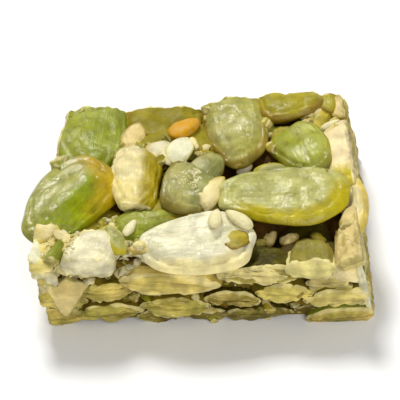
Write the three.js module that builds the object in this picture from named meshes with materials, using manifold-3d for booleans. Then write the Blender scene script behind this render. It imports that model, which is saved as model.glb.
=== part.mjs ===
// Pumpkin seed brittle: one hand-cut tile of green pumpkin kernels set in boiled sugar, with sesame on top.
// Millimetres, +Z up. The origin is on the flat base. The front cut faces -Y and the long edges run along X.
// The whole tile is one solid: a binder block, kernels lying flat in layers round its four cut sides and
// under it, larger kernels crowded on its top, all sliced by the knife, and sesame stuck on at the end.
import * as THREE from "three";
import { mergeVertices } from "three/addons/utils/BufferGeometryUtils.js";
import Module from "manifold-3d";

const wasm = await Module();
wasm.setup();

// Driving dimensions
const LAYER_PITCH = 2.7; // from one layer of flat kernels to the next
const LAYERS = 3; // layers below the kernels that lie on the top
const FIRST_LAYER = 1.3; // height of the lowest layer's middle
const BETWEEN_LAYER = 8.4; // height of the kernels that show between those on the top
const BINDER = { width: 44, depth: 32, height: 8.8 }; // before the knife trims it
const BINDER_INSET = 1.2; // the binder shrinks back from the knife's cut between kernels
const LUMP = { height: 0.55, along: 0.55, across: 0.7, skew: 0.3 }; // swell of the binder's top, waves per mm
const KERNEL = { length: 13.2, width: 7.6, thick: 2.9 };
const SESAME = { length: 3.4, width: 2.1, thick: 1.2 };
const SESAME_SINK = 1 / 3; // share of a grain's thickness that is below the surface it lies on
const TIP_TAPER = 0.2; // a kernel is this much slimmer at its pointed end, and fuller at its round one
const LENS = 2; // a kernel in a layer thins evenly from its middle to its margin
const FLAT = 3.4; // a kernel on the top stays flat, and thins close to its margin
const EDGE = 0.675; // 0.5 gives a kernel a round margin, 1 a sharp one
const BLUNT = 2.4; // 2 is an oval outline, more is squarer
const HOLLOWS = [
  { at: [11.2, -9.8], radius: 5, depth: 4.6 }, // gaps on the top that go deep
  { at: [8, -13], radius: 4, depth: 3.4 },
  { at: [4, 2.2], radius: 3, depth: 5.2 },
];
const GRID = { columns: 3, rows: 3, columnStep: 9.5, rowStep: 6.4, stagger: 0.25 }; // kernels inside a layer
const KERNEL_SIDES = [8, 6]; // round a kernel, and along it
const SESAME_SIDES = [6, 4];
const BINDER_SIDES = [16, 12]; // along X, and along Y
const WELD = 1e-4; // points closer than this are one
const WASTE = 60; // side of the boxes that cut, larger than the tile
const SEED = 20260;
const GENERATOR = { multiplier: 48271, modulus: 2147483647 }; // a draw is the last one times this, wrapped

// Ranges that the unevenness is drawn from
const GROW = [0.8, 1.1]; // of a kernel's length and width
const THICKEN = [0.75, 1.08]; // of its thickness
const TILT = [-7, 7]; // degrees, of kernels in the layers
const CHIP = [0, 0.55]; // a sliced kernel breaks up to this far behind the knife
const ROW_START = [0, 5]; // a row begins this far beyond its corner
const ROW_TURN = [20, 160]; // a kernel's heading against its cut, in degrees
const ROW_OFF = [0.05, 0.7]; // 0 slices a kernel through its middle, 1 only grazes it
const ROW_GAP = [0, 0.5]; // between two slices in a row
const ROW_RISE = [-0.35, 0.35];
const GRID_SHIFT = [-1, 1];
const TURN = [0, 360];

// The four knife cuts: which way each faces in plan, how far out it meets the base, and how far it leans in
const CUTS = [
  { side: "front", facing: -90, reach: 14, lean: 2 },
  { side: "right", facing: 1.5, reach: 19.4, lean: 10 },
  { side: "back", facing: 91.5, reach: 13.9, lean: 3 },
  { side: "left", facing: 175, reach: 15.6, lean: -9 },
];

// Kernels on the top, largest first. Heading is where the pointed end looks, pitch lifts it, roll lifts
// the kernel's left side. A kernel marked whole is one that the knife has missed.
const TOP_KERNELS = [
  { at: [9.6, -4.2, 10.6], heading: 181, pitch: 1, roll: -7, length: 15.7, width: 8.4, thick: 2.7 },
  {
    at: [-14.8, -3.9, 10.2], heading: 235, pitch: -6, roll: -12,
    length: 13.8, width: 8.6, thick: 2.9, whole: true,
  },
  {
    at: [-0.1, -11.3, 9.9], heading: 184, pitch: 0, roll: -20,
    length: 13.0, width: 7.2, thick: 2.8, whole: true,
  },
  { at: [-12.8, 9.6, 9.2], heading: 86, pitch: -3, roll: 4, length: 16.0, width: 8.4, thick: 2.6 },
  { at: [4.3, 9.0, 9.4], heading: 277, pitch: -2, roll: 5, length: 13.2, width: 7.4, thick: 2.8 },
  { at: [-7.2, -0.7, 10.1], heading: 272, pitch: 4, roll: -8, length: 12.4, width: 6.2, thick: 2.6 },
  { at: [-0.9, -2.0, 10], heading: 98, pitch: -4, roll: 6, length: 10.2, width: 7.2, thick: 2.8 },
  { at: [12.2, 4.6, 9.8], heading: 290, pitch: 6, roll: 10, length: 10.2, width: 6.8, thick: 2.6 },
  { at: [11.0, 12.9, 10.1], heading: 8, pitch: 2, roll: -8, length: 8.8, width: 7.2, thick: 2.6 },
  { at: [-4.5, 11.6, 8.5], heading: 186, pitch: 0, roll: -3, length: 10.2, width: 8.6, thick: 2.6 },
  { at: [16.6, 3.6, 9.9], heading: 92, pitch: 3, roll: -14, length: 11.0, width: 6.4, thick: 2.6 },
  { at: [-11.7, -12.6, 9.4], heading: 72, pitch: 8, roll: 10, length: 8.8, width: 6.4, thick: 2.8 },
  { at: [12.8, -12.6, 8], heading: 84, pitch: -6, roll: 0, length: 8.4, width: 5.8, thick: 2.8 },
  { at: [17.3, -10.6, 9.0], heading: 88, pitch: 0, roll: -24, length: 11.6, width: 4.0, thick: 2.6 },
  { at: [-5.2, -8.0, 9], heading: 12, pitch: -6, roll: 10, length: 9.4, width: 6.2, thick: 2.6 },
  { at: [-16.7, -11.6, 9.6], heading: 28, pitch: 10, roll: 0, length: 7.2, width: 5.2, thick: 2.6 },
  { at: [7.4, -12.6, 7.2], heading: 176, pitch: 0, roll: 4, length: 10.4, width: 6.4, thick: 2.6 },
  { at: [16.0, 10.8, 9.2], heading: 62, pitch: 0, roll: 18, length: 9.2, width: 5.6, thick: 2.6 },
  {
    at: [17.5, -4.2, 8.4], heading: 90, pitch: 0, roll: -35,
    length: 10.0, width: 4.4, thick: 2.4, whole: true,
  },
];

// Kernels sliced lengthwise by the front cut, which shows most. They all lie flat just behind it.
const FRONT_LIE = { y: -12.8, width: 7.2 };
const FRONT_KERNELS = [
  { x: -3.2, z: 6.4, heading: 2, pitch: -3, length: 11.8, thick: 3.1, chip: 0, flat: FLAT },
  { x: 6.2, z: 7.3, heading: 176, pitch: 2, length: 9.0, thick: 2.5, chip: 0.1, flat: FLAT },
  { x: -10.2, z: 5.1, heading: 6, pitch: 3, length: 7.0, thick: 3.0, chip: 0.25 },
  { x: -2.8, z: 2.7, heading: 183, pitch: 0, length: 8.6, thick: 3.0, chip: 0.1 },
  { x: 3.9, z: 3.4, heading: 2, pitch: -4, length: 6.6, thick: 2.5, chip: 0.35 },
  { x: 9.5, z: 4.5, heading: 178, pitch: 1, length: 7.4, thick: 2.8, chip: 0.05 },
  { x: 15.6, z: 3.6, heading: 4, pitch: 2, length: 7.6, thick: 2.6, chip: 0, flat: FLAT },
  { x: -10.6, z: 1.8, heading: 181, pitch: -2, length: 8.2, thick: 2.6, chip: 0.2 },
  { x: -4.6, z: 0.9, heading: 3, pitch: 0, length: 5.4, thick: 1.7, chip: 0.5 },
  { x: 6.4, z: 1.0, heading: 180, pitch: -2, length: 8.8, thick: 2.1, chip: 0.45 },
  { x: 14.6, z: 0.9, heading: 2, pitch: 1, length: 7.8, thick: 1.7, chip: 0.9 },
  { x: -16.2, z: 0.9, heading: 178, pitch: 0, length: 5.6, thick: 1.9, chip: 0.3 },
  { x: 14.4, z: 5.9, heading: 184, pitch: 0, length: 5.0, thick: 1.7, chip: 0.3, flat: FLAT },
  { x: 1.2, z: 0.8, heading: 5, pitch: 0, length: 5.2, thick: 1.5, chip: 0.7 },
];

// Sesame on the top: where it lies in plan, its heading and its size
const TOP_SESAME = [
  { at: [-1.8, 8.5], heading: 45, grow: 1.35 },
  { at: [-2.5, 4.5], heading: 80, grow: 1.1 },
  { at: [-4.6, 5.1], heading: 28, grow: 0.9 },
  { at: [2.2, -9.0], heading: 82, grow: 0.95 },
  { at: [4.8, -8.9], heading: 149, grow: 1.1 },
  { at: [15.6, 8.4], heading: 20, grow: 0.8 },
  { at: [8.8, 1.9], heading: 10, grow: 0.75 },
  { at: [-7.4, -8.9], heading: 60, grow: 0.75 },
];

const radians = THREE.MathUtils.degToRad;

// A number from a range. The generator starts from a fixed seed, so every run lays the same tile.
let state = SEED;
function draw([low, high]) {
  state = (state * GENERATOR.multiplier) % GENERATOR.modulus;
  return low + ((high - low) * state) / GENERATOR.modulus;
}

// A geometry without its seams
function welded(geometry) {
  const bare = geometry.clone();
  bare.deleteAttribute("normal");
  bare.deleteAttribute("uv");
  return mergeVertices(bare, WELD);
}

function solidOf(geometry) {
  const { attributes, index } = welded(geometry);
  return new wasm.Manifold(
    new wasm.Mesh({
      numProp: 3,
      vertProperties: attributes.position.array,
      triVerts: new Uint32Array(index.array),
    }),
  );
}

function geometryOf(solid) {
  const { vertProperties, triVerts } = solid.getMesh();
  const geometry = new THREE.BufferGeometry();
  geometry.setAttribute("position", new THREE.BufferAttribute(vertProperties, 3));
  geometry.setIndex(new THREE.BufferAttribute(triVerts, 1));
  geometry.computeVertexNormals();
  return geometry;
}

// A seed in its own frame: long along X with its point at +X and flat along Z. It is a ball with its poles at
// the seed's ends, pushed into shape.
function seedGeometry({ length, width, thick, flat = LENS }, [sides, rings]) {
  const geometry = welded(new THREE.SphereGeometry(1, sides, rings)).rotateZ(-Math.PI / 2);
  const places = geometry.attributes.position;
  for (let i = 0; i < places.count; i++) {
    const [along, across, up] = [places.getX(i), places.getY(i), places.getZ(i)];
    const out = Math.hypot(along, across);
    const square = out ? out / (Math.abs(along) ** BLUNT + Math.abs(across) ** BLUNT) ** (1 / BLUNT) : 1;
    const crown = Math.sign(up) * Math.max(0, 1 - out ** flat) ** EDGE;
    places.setXYZ(
      i,
      (along * square * length) / 2,
      ((across * square * width) / 2) * (1 - TIP_TAPER * along),
      (crown * thick) / 2,
    );
  }
  return geometry;
}

function placed(geometry, [x, y, z], heading, pitch, roll) {
  const turn = new THREE.Euler(radians(roll), radians(-pitch), radians(heading), "ZYX");
  return geometry.applyMatrix4(new THREE.Matrix4().makeRotationFromEuler(turn).setPosition(x, y, z));
}

function kernelSolid(kernel) {
  const geometry = seedGeometry(kernel, KERNEL_SIDES);
  return solidOf(placed(geometry, kernel.at, kernel.heading, kernel.pitch, kernel.roll));
}

// Which way a cut faces and runs in plan
function cutDirections({ facing }) {
  const out = new THREE.Vector3(Math.cos(radians(facing)), Math.sin(radians(facing)), 0);
  const along = new THREE.Vector3(-out.y, out.x, 0);
  return { out, along };
}

// The waste beyond a knife cut, as a large box with one face in the cut
function wasteBeyond(cut, inset) {
  const { out } = cutDirections(cut);
  const box = new THREE.BoxGeometry(WASTE, WASTE, WASTE).translate(WASTE / 2, 0, 0);
  box.rotateY(radians(-cut.lean)).rotateZ(radians(cut.facing));
  return solidOf(box.translate(out.x * (cut.reach - inset), out.y * (cut.reach - inset), 0));
}

function trim(solid, inset) {
  return CUTS.reduce((left, cut) => left.subtract(wasteBeyond(cut, inset)), solid);
}

function wasteBelow() {
  return solidOf(new THREE.BoxGeometry(WASTE, WASTE, WASTE).translate(0, 0, -WASTE / 2));
}

function hollowDepth(x, y) {
  const depths = HOLLOWS.map(({ at, radius, depth }) => {
    const away = Math.hypot(x - at[0], y - at[1]) / radius;
    return away < 1 ? depth * (1 - away ** 2) : 0;
  });
  return Math.max(...depths);
}

// Whether a kernel lying here would cover a hollow
function overHollow(x, y) {
  return HOLLOWS.some(({ at, radius }) => Math.hypot(x - at[0], y - at[1]) < radius + KERNEL.width / 2);
}

// The binder: a block with a lumpy top, shrunk back a little from the cuts
function binderSolid() {
  const { width, depth, height } = BINDER;
  const block = new THREE.BoxGeometry(width, depth, height, ...BINDER_SIDES, 1).translate(0, 0, height / 2);
  const places = block.attributes.position;
  for (let i = 0; i < places.count; i++) {
    if (places.getZ(i) < height / 2) continue;
    const [x, y] = [places.getX(i), places.getY(i)];
    const swell = Math.sin(LUMP.along * x + LUMP.skew * y) + Math.sin(LUMP.across * y - LUMP.skew * x);
    places.setZ(i, height + (LUMP.height * swell) / 2 - hollowDepth(x, y));
  }
  return trim(solidOf(block), BINDER_INSET);
}

function drawnKernel(at, heading) {
  const grow = draw(GROW);
  return {
    at,
    heading,
    pitch: draw(TILT),
    roll: draw(TILT),
    length: KERNEL.length * grow,
    width: KERNEL.width * grow,
    thick: KERNEL.thick * draw(THICKEN),
    chip: draw(CHIP),
  };
}

// One layer of kernels along one cut, end to end, each lying at its own angle across the knife's path
function sideRow(cut, layer) {
  const { out, along } = cutDirections(cut);
  const neighbour = cut.side === "front" || cut.side === "back" ? "right" : "front";
  const half = CUTS.find(({ side }) => side === neighbour).reach;
  const height = FIRST_LAYER + LAYER_PITCH * layer;
  const reach = cut.reach - height * Math.tan(radians(cut.lean));
  const row = [];
  let place = -half - draw(ROW_START);
  while (place < half) {
    const turn = radians(draw(ROW_TURN));
    const spread = Math.hypot(KERNEL.length * Math.cos(turn), KERNEL.width * Math.sin(turn));
    const deep = Math.hypot(KERNEL.length * Math.sin(turn), KERNEL.width * Math.cos(turn)) / 2;
    const off = draw(ROW_OFF);
    const slice = spread * Math.sqrt(1 - off ** 2);
    const spot = out.clone().multiplyScalar(reach - off * deep).addScaledVector(along, place + slice / 2);
    spot.z = height + draw(ROW_RISE);
    row.push(drawnKernel(spot.toArray(), cut.facing + 90 + THREE.MathUtils.radToDeg(turn)));
    place += slice + draw(ROW_GAP);
  }
  return row;
}

// Kernels over the middle of the tile at one height, on a staggered grid: they show below, and in gaps above
function middleLayer(height) {
  const kernels = [];
  for (let row = 0; row < GRID.rows; row++) {
    const stagger = row % 2 ? GRID.stagger : -GRID.stagger;
    for (let column = 0; column < GRID.columns; column++) {
      const x = (column - (GRID.columns - 1) / 2 + stagger) * GRID.columnStep + draw(GRID_SHIFT);
      const y = (row - (GRID.rows - 1) / 2) * GRID.rowStep + draw(GRID_SHIFT);
      kernels.push(drawnKernel([x, y, height + draw(ROW_RISE)], draw(TURN)));
    }
  }
  return kernels;
}

// A hollow that fusing has sealed is filled and a loose scrap is dropped, by keeping the largest outer skin
function oneBody(solid) {
  return solid.decompose().reduce((a, b) => (b.volume() > a.volume() ? b : a));
}

function tileSolid() {
  const sides = CUTS.filter(({ side }) => side !== "front");
  const rows = sides.flatMap((cut) => [...Array(LAYERS).keys()].map((layer) => sideRow(cut, layer))).flat();
  const front = FRONT_KERNELS.map(({ x, z, ...lie }) => {
    return { at: [x, FRONT_LIE.y, z], roll: 0, width: FRONT_LIE.width, ...lie };
  });
  const under = middleLayer(FIRST_LAYER);
  const between = middleLayer(BETWEEN_LAYER).filter(({ at: [x, y] }) => !overHollow(x, y));
  const top = TOP_KERNELS.map((kernel) => ({ flat: FLAT, ...kernel }));
  const whole = top.filter((kernel) => kernel.whole);
  const sliced = [...top.filter((kernel) => !kernel.whole), ...front, ...rows, ...under, ...between];
  const slices = sliced.map((kernel) => trim(kernelSolid(kernel), kernel.chip ?? 0));
  const solids = [...slices, ...whole.map(kernelSolid)];
  const fused = solids.reduce((tile, kernel) => tile.add(kernel), binderSolid());
  return oneBody(fused.subtract(wasteBelow()));
}

// Sesame sinks a third of its thickness into whatever is highest under it, and lies along that surface
function withSesame(tile) {
  const surface = new THREE.Mesh(geometryOf(tile), new THREE.MeshBasicMaterial());
  let sown = tile;
  for (const { at, heading, grow } of TOP_SESAME) {
    const ray = new THREE.Raycaster(new THREE.Vector3(at[0], at[1], WASTE), new THREE.Vector3(0, 0, -1));
    const [hit] = ray.intersectObject(surface);
    if (!hit) continue;
    const grain = seedGeometry(SESAME, SESAME_SIDES).scale(grow, grow, grow).rotateZ(radians(heading));
    const lie = new THREE.Quaternion().setFromUnitVectors(new THREE.Vector3(0, 0, 1), hit.face.normal);
    const lift = hit.face.normal.clone().multiplyScalar(grow * SESAME.thick * (0.5 - SESAME_SINK));
    const spot = hit.point.clone().add(lift);
    grain.applyMatrix4(new THREE.Matrix4().compose(spot, lie, new THREE.Vector3(1, 1, 1)));
    sown = sown.add(solidOf(grain));
  }
  return oneBody(sown);
}

const brittle = new THREE.Mesh(
  geometryOf(withSesame(tileSolid())),
  new THREE.MeshStandardMaterial({ color: 0x8f9150, roughness: 0.5, metalness: 0 }),
);
brittle.name = "brittle";

const pumpkinSeedBrittle = new THREE.Group();
pumpkinSeedBrittle.add(brittle);

export default pumpkinSeedBrittle;
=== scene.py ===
# %% [markdown]
# # A tile of pumpkin seed brittle
# Pumpkin kernels and sesame are stirred into boiling sugar, pressed flat on a board and cut into tiles
# while warm. So the tile shows three things: whole kernels crowded on its top, kernels sliced by the knife
# round its sides, and the dark sugar mass in the gaps. Each becomes a piece of its own here. All are laid
# by the same rules as the solid model, so that every kernel sits where its plain solid sits.

# %% Load the frame
import math
import random
from dataclasses import dataclass

import bmesh
import bpy
from mathutils import Euler, Matrix, Vector, noise
from mathutils.bvhtree import BVHTree
from mathutils.kdtree import KDTree


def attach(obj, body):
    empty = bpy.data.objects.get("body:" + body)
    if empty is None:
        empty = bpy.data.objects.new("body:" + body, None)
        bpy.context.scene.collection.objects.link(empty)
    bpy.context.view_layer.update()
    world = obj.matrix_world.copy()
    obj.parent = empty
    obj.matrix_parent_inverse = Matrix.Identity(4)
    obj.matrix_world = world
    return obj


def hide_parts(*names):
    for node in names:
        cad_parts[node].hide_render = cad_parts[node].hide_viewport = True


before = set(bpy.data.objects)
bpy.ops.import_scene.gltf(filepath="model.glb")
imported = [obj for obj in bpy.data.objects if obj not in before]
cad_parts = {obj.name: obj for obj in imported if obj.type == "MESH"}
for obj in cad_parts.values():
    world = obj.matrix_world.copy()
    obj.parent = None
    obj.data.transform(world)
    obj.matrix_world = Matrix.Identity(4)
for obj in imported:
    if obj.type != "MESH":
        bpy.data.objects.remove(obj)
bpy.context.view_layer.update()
MM = 0.001  # sizes below are in millimetres, and Blender's unit is the metre

# %% [markdown]
# ## Camera
# The tile is seen from about 40 degrees above its own top face and a touch to the right of square. A long
# lens from some 20 cm away keeps the slight narrowing towards the back that a close photograph of so small
# a thing has.

# %% Camera
CAMERA = {"azimuth": 4, "elevation": 42, "distance": 210, "target": (0.0, 0.2, 6.2), "roll": 4}
LENS_MM = 161
NEAREST = 10


def direction(azimuth, elevation):
    """The way from the tile to something seen at these angles; azimuth 0 is in front, at -Y."""
    turn, rise = math.radians(azimuth), math.radians(elevation)
    return Vector((math.sin(turn) * math.cos(rise), -math.cos(turn) * math.cos(rise), math.sin(rise)))


def aim(thing, azimuth, elevation, distance, target=(0, 0, 0), roll=0):
    """Stands a camera or a light off the tile, turns it to face its target and rolls it clockwise."""
    back = direction(azimuth, elevation)
    thing.location = (Vector(target) + back * distance) * MM
    facing = (-back).to_track_quat("-Z", "Y").to_matrix()
    thing.rotation_euler = (facing @ Matrix.Rotation(math.radians(-roll), 3, "Z")).to_euler()


def add_camera():
    camera = bpy.data.objects.new("camera", bpy.data.cameras.new("camera"))
    bpy.context.scene.collection.objects.link(camera)
    camera.data.lens = LENS_MM
    camera.data.clip_start = NEAREST * MM
    aim(camera, **CAMERA)
    bpy.context.scene.camera = camera


add_camera()
print("camera lens in mm:", LENS_MM)

# %% [markdown]
# ## Light
# Food is lit softly from above, with a bright room around it so that the cut side in front isn't dull.
# Crevices between kernels then go dark by themselves. A lamp behind and above draws the kernels' forms, a
# much larger one fills from the front, and the world stands for the white room.

# %% Lights
LAMPS = {
    "key": {"azimuth": 198, "elevation": 54, "distance": 420, "size": 110, "watts": 1.6},
    "fill": {"azimuth": 22, "elevation": 34, "distance": 460, "size": 320, "watts": 1.1},
}
ROOM_STRENGTH = 0.28


def add_lamp(name, azimuth, elevation, distance, size, watts):
    lamp = bpy.data.objects.new(name, bpy.data.lights.new(name, "AREA"))
    bpy.context.scene.collection.objects.link(lamp)
    lamp.data.size = size * MM
    lamp.data.energy = watts
    aim(lamp, azimuth, elevation, distance)


def light_room():
    world = bpy.data.worlds.new("room")
    world.use_nodes = True
    world.node_tree.nodes["Background"].inputs["Color"].default_value = (1, 1, 1, 1)
    world.node_tree.nodes["Background"].inputs["Strength"].default_value = ROOM_STRENGTH
    bpy.context.scene.world = world
    bpy.context.scene.view_settings.view_transform = "Standard"


for lamp_name, lamp_facts in LAMPS.items():
    add_lamp(lamp_name, **lamp_facts)
light_room()
print("lamps:", ", ".join(LAMPS))

# %% [markdown]
# ## Node helpers
# Every finish below is a tree of shader nodes, and a few small helpers keep them readable. One makes a node
# and feeds its inputs, by a link if it is given another node's output and by a plain value otherwise. The
# others wrap the maths, noise, colour-mixing and attribute nodes that turn up everywhere.

# %% Node helpers
def feed(tree, socket, value):
    if isinstance(value, bpy.types.NodeSocket):
        tree.links.new(value, socket)
    else:
        socket.default_value = value


def node(tree, kind, inputs=None, **settings):
    made = tree.nodes.new(kind)
    for name, value in settings.items():
        setattr(made, name, value)
    for key, value in (inputs or {}).items():
        feed(tree, made.inputs[key], value)
    return made


def calc(tree, operation, *values):
    inputs = dict(enumerate(values))
    return node(tree, "ShaderNodeMath", inputs, operation=operation).outputs[0]


def ramp(tree, value, low, high, to_low=0.0, to_high=1.0):
    """A smooth step from low to high."""
    inputs = {"Value": value, "From Min": low, "From Max": high, "To Min": to_low, "To Max": to_high}
    return node(tree, "ShaderNodeMapRange", inputs, interpolation_type="SMOOTHSTEP").outputs["Result"]


def mix(tree, factor, first, second):
    """The first colour, with a share of the second laid over it."""
    inputs = {0: factor, 6: first, 7: second}
    return node(tree, "ShaderNodeMix", inputs, data_type="RGBA").outputs[2]


def grain(tree, vector, scale, detail=3.0, rough=0.55):
    """Plain noise from 0 to 1."""
    inputs = {"Vector": vector, "Scale": scale, "Detail": detail, "Roughness": rough}
    return node(tree, "ShaderNodeTexNoise", inputs).outputs["Fac"]


def stretch(tree, vector, shares):
    return node(tree, "ShaderNodeVectorMath", {0: vector, 1: shares}, operation="MULTIPLY").outputs[0]


def parts_of(tree, vector):
    return node(tree, "ShaderNodeSeparateXYZ", {0: vector}).outputs


def object_place(tree):
    return node(tree, "ShaderNodeTexCoord").outputs["Object"]


def held(tree, layer, output="Color"):
    """What a point attribute holds: its colour, its alpha or its vector."""
    return node(tree, "ShaderNodeAttribute", attribute_name=layer).outputs[output]


def new_material(name):
    material = bpy.data.materials.new(name)
    material.use_nodes = True
    return material, material.node_tree, material.node_tree.nodes["Principled BSDF"]


def linear(colour):
    """A colour as an eye would name it, 0 to 255, as the numbers a shader works with."""
    def channel(value):
        share = value / 255
        return share / 12.92 if share <= 0.04045 else ((share + 0.055) / 1.055) ** 2.4
    return (*(channel(value) for value in colour), 1.0)


print("node helpers ready")

# %% [markdown]
# ## Floor
# A plain pale sheet large enough to run out of every view. It is stage, not part of the tile.

# %% Floor
FLOOR_SIZE = 6000
FLOOR_PARTS = 4
FLOOR_TONES = ((244, 243, 241), (247, 247, 246))
FLOOR_MOTTLE = 3.0
FLOOR_ROUGH = 0.7


def floor_finish():
    material, tree, shader = new_material("pale_floor")
    mottle = grain(tree, object_place(tree), FLOOR_MOTTLE)
    feed(tree, shader.inputs["Base Color"], mix(tree, mottle, *map(linear, FLOOR_TONES)))
    shader.inputs["Roughness"].default_value = FLOOR_ROUGH
    return material


def add_floor():
    bm = bmesh.new()
    bmesh.ops.create_grid(bm, x_segments=FLOOR_PARTS, y_segments=FLOOR_PARTS, size=FLOOR_SIZE * MM / 2)
    mesh = bpy.data.meshes.new("floor")
    bm.to_mesh(mesh)
    bm.free()
    floor = bpy.data.objects.new("floor", mesh)
    bpy.context.scene.collection.objects.link(floor)
    mesh.materials.append(floor_finish())


add_floor()
print("floor laid")

# %% [markdown]
# ## Where every kernel lies
# The solid model lays its kernels by rules: rows along each knife cut, two staggered grids inside, and a
# crowd on the top whose places are listed. The same rules and the same simple number generator are repeated
# here, so both models hold the same kernels. A knife cut is given by the way it faces, how far out it meets
# the board, and how far it leans in.

# %% Driving dimensions
LAYER_PITCH = 2.7
LAYERS = 3
FIRST_LAYER = 1.3
BETWEEN_LAYER = 8.4
BINDER_HEIGHT = 8.8
BINDER_INSET = 1.2
LUMP = {"height": 0.55, "along": 0.55, "across": 0.7, "skew": 0.3}
KERNEL = {"length": 13.2, "width": 7.6, "thick": 2.9}
LENS = 2  # a kernel in a layer thins evenly from its middle to its margin
FLAT = 4.2  # a kernel on the top stays flat, and thins close to its margin
HOLLOWS = [  # gaps on the top that go deep: place, radius, depth
    ((11.2, -9.8), 5.0, 4.6),
    ((8.0, -13.0), 4.0, 3.4),
    ((4.0, 2.2), 3.0, 5.2),
]
GRID = {"columns": 3, "rows": 3, "column_step": 9.5, "row_step": 6.4, "stagger": 0.25}
GROW = (0.8, 1.1)
THICKEN = (0.75, 1.08)
TILT = (-7, 7)
CHIP = (0, 0.55)
ROW_START = (0, 5)
ROW_TURN = (20, 160)
ROW_OFF = (0.05, 0.7)
ROW_GAP = (0, 0.5)
ROW_RISE = (-0.35, 0.35)
GRID_SHIFT = (-1, 1)
TURN = (0, 360)
CUTS = {
    "front": {"facing": -90, "reach": 14, "lean": 2},
    "right": {"facing": 1.5, "reach": 19.4, "lean": 10},
    "back": {"facing": 91.5, "reach": 13.9, "lean": 3},
    "left": {"facing": 175, "reach": 15.6, "lean": -9},
}
LAYOUT_SEED = 20260
GENERATOR = {"times": 48271, "wrap": 2147483647}  # a draw is the last one times this, wrapped


class Draws:
    """Numbers that look random and are the same on every run, and in the solid model too."""

    def __init__(self, seed):
        self.state = seed

    def between(self, span):
        self.state = self.state * GENERATOR["times"] % GENERATOR["wrap"]
        return span[0] + (span[1] - span[0]) * self.state / GENERATOR["wrap"]


def hollow_depth(x, y):
    """How far the sugar's top sinks at a place in plan."""
    depths = [0.0]
    for place, radius, depth in HOLLOWS:
        away = math.dist((x, y), place) / radius
        depths.append(depth * max(0.0, 1 - away**2))
    return max(depths)


def over_hollow(x, y):
    """Whether a kernel lying here would cover a hollow."""
    return any(math.dist((x, y), place) < radius + KERNEL["width"] / 2 for place, radius, _ in HOLLOWS)


layout = Draws(LAYOUT_SEED)
print("cuts:", ", ".join(CUTS))

# %% Kernel facts
@dataclass
class Kernel:
    """Heading is where the pointed end looks, pitch lifts it, and roll lifts the kernel's left side."""

    at: tuple
    heading: float
    pitch: float
    roll: float
    length: float
    width: float
    thick: float
    look: str = "leaf"
    name: str = ""
    flesh: tuple = ()  # its colour inside, if that isn't its look's
    chip: float = 0.0  # how far behind the knife it broke
    whole: bool = False  # the knife has missed it
    flat: float = LENS
    crease: float = 0.0  # height of a crest along it
    split: float = 1.0  # share of its upper half that is left
    rough: float = 1.0  # how uneven it is beside a plain kernel
    breaks: tuple = ()  # where it snapped: a heading in the kernel, how far from its middle, and a slant

    def matrix(self):
        turn = Euler((math.radians(self.roll), math.radians(-self.pitch), math.radians(self.heading)), "XYZ")
        return Matrix.Translation(self.at) @ turn.to_matrix().to_4x4()


def drawn_kernel(at, heading):
    grow = layout.between(GROW)
    pitch = layout.between(TILT)
    roll = layout.between(TILT)
    thick = KERNEL["thick"] * layout.between(THICKEN)
    chip = layout.between(CHIP)
    return Kernel(at, heading, pitch, roll, KERNEL["length"] * grow, KERNEL["width"] * grow, thick, chip=chip)


def cut_directions(side):
    facing = math.radians(CUTS[side]["facing"])
    out = Vector((math.cos(facing), math.sin(facing), 0))
    return out, Vector((-out.y, out.x, 0))


def knife(side, inset=0.0):
    """A point in the cut and the way the cut faces."""
    out, _ = cut_directions(side)
    lean = math.radians(CUTS[side]["lean"])
    return out * (CUTS[side]["reach"] - inset), out * math.cos(lean) + Vector((0, 0, math.sin(lean)))


print("a kernel is about", KERNEL["length"], "mm long")

# %% Rows along the cuts, and grids inside
def side_row(side, layer):
    """Kernels one behind another along a cut, turned and set back by chance, so that it slices each one."""
    out, along = cut_directions(side)
    half = CUTS["right" if side in ("front", "back") else "front"]["reach"]
    height = FIRST_LAYER + LAYER_PITCH * layer
    reach = CUTS[side]["reach"] - height * math.tan(math.radians(CUTS[side]["lean"]))
    row = []
    place = -half - layout.between(ROW_START)
    while place < half:
        turn = math.radians(layout.between(ROW_TURN))
        spread = math.hypot(KERNEL["length"] * math.cos(turn), KERNEL["width"] * math.sin(turn))
        deep = math.hypot(KERNEL["length"] * math.sin(turn), KERNEL["width"] * math.cos(turn)) / 2
        off = layout.between(ROW_OFF)
        piece = spread * math.sqrt(1 - off**2)
        spot = out * (reach - off * deep) + along * (place + piece / 2)
        spot.z = height + layout.between(ROW_RISE)
        row.append(drawn_kernel(tuple(spot), CUTS[side]["facing"] + 90 + math.degrees(turn)))
        place += piece + layout.between(ROW_GAP)
    return row


def middle_layer(height):
    """A staggered grid of kernels that lie flat inside the tile."""
    kernels = []
    for row in range(GRID["rows"]):
        stagger = GRID["stagger"] if row % 2 else -GRID["stagger"]
        for column in range(GRID["columns"]):
            x = (column - (GRID["columns"] - 1) / 2 + stagger) * GRID["column_step"]
            x += layout.between(GRID_SHIFT)
            y = (row - (GRID["rows"] - 1) / 2) * GRID["row_step"] + layout.between(GRID_SHIFT)
            z = height + layout.between(ROW_RISE)
            kernels.append(drawn_kernel((x, y, z), layout.between(TURN)))
    return kernels


ROW_SIDES = [side for side in CUTS if side != "front"]
side_kernels = [kernel for side in ROW_SIDES for layer in range(LAYERS) for kernel in side_row(side, layer)]
inner_kernels = middle_layer(FIRST_LAYER)
inner_kernels += [kernel for kernel in middle_layer(BETWEEN_LAYER) if not over_hollow(*kernel.at[:2])]
print(len(side_kernels), "kernels along the cuts,", len(inner_kernels), "inside")
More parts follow.
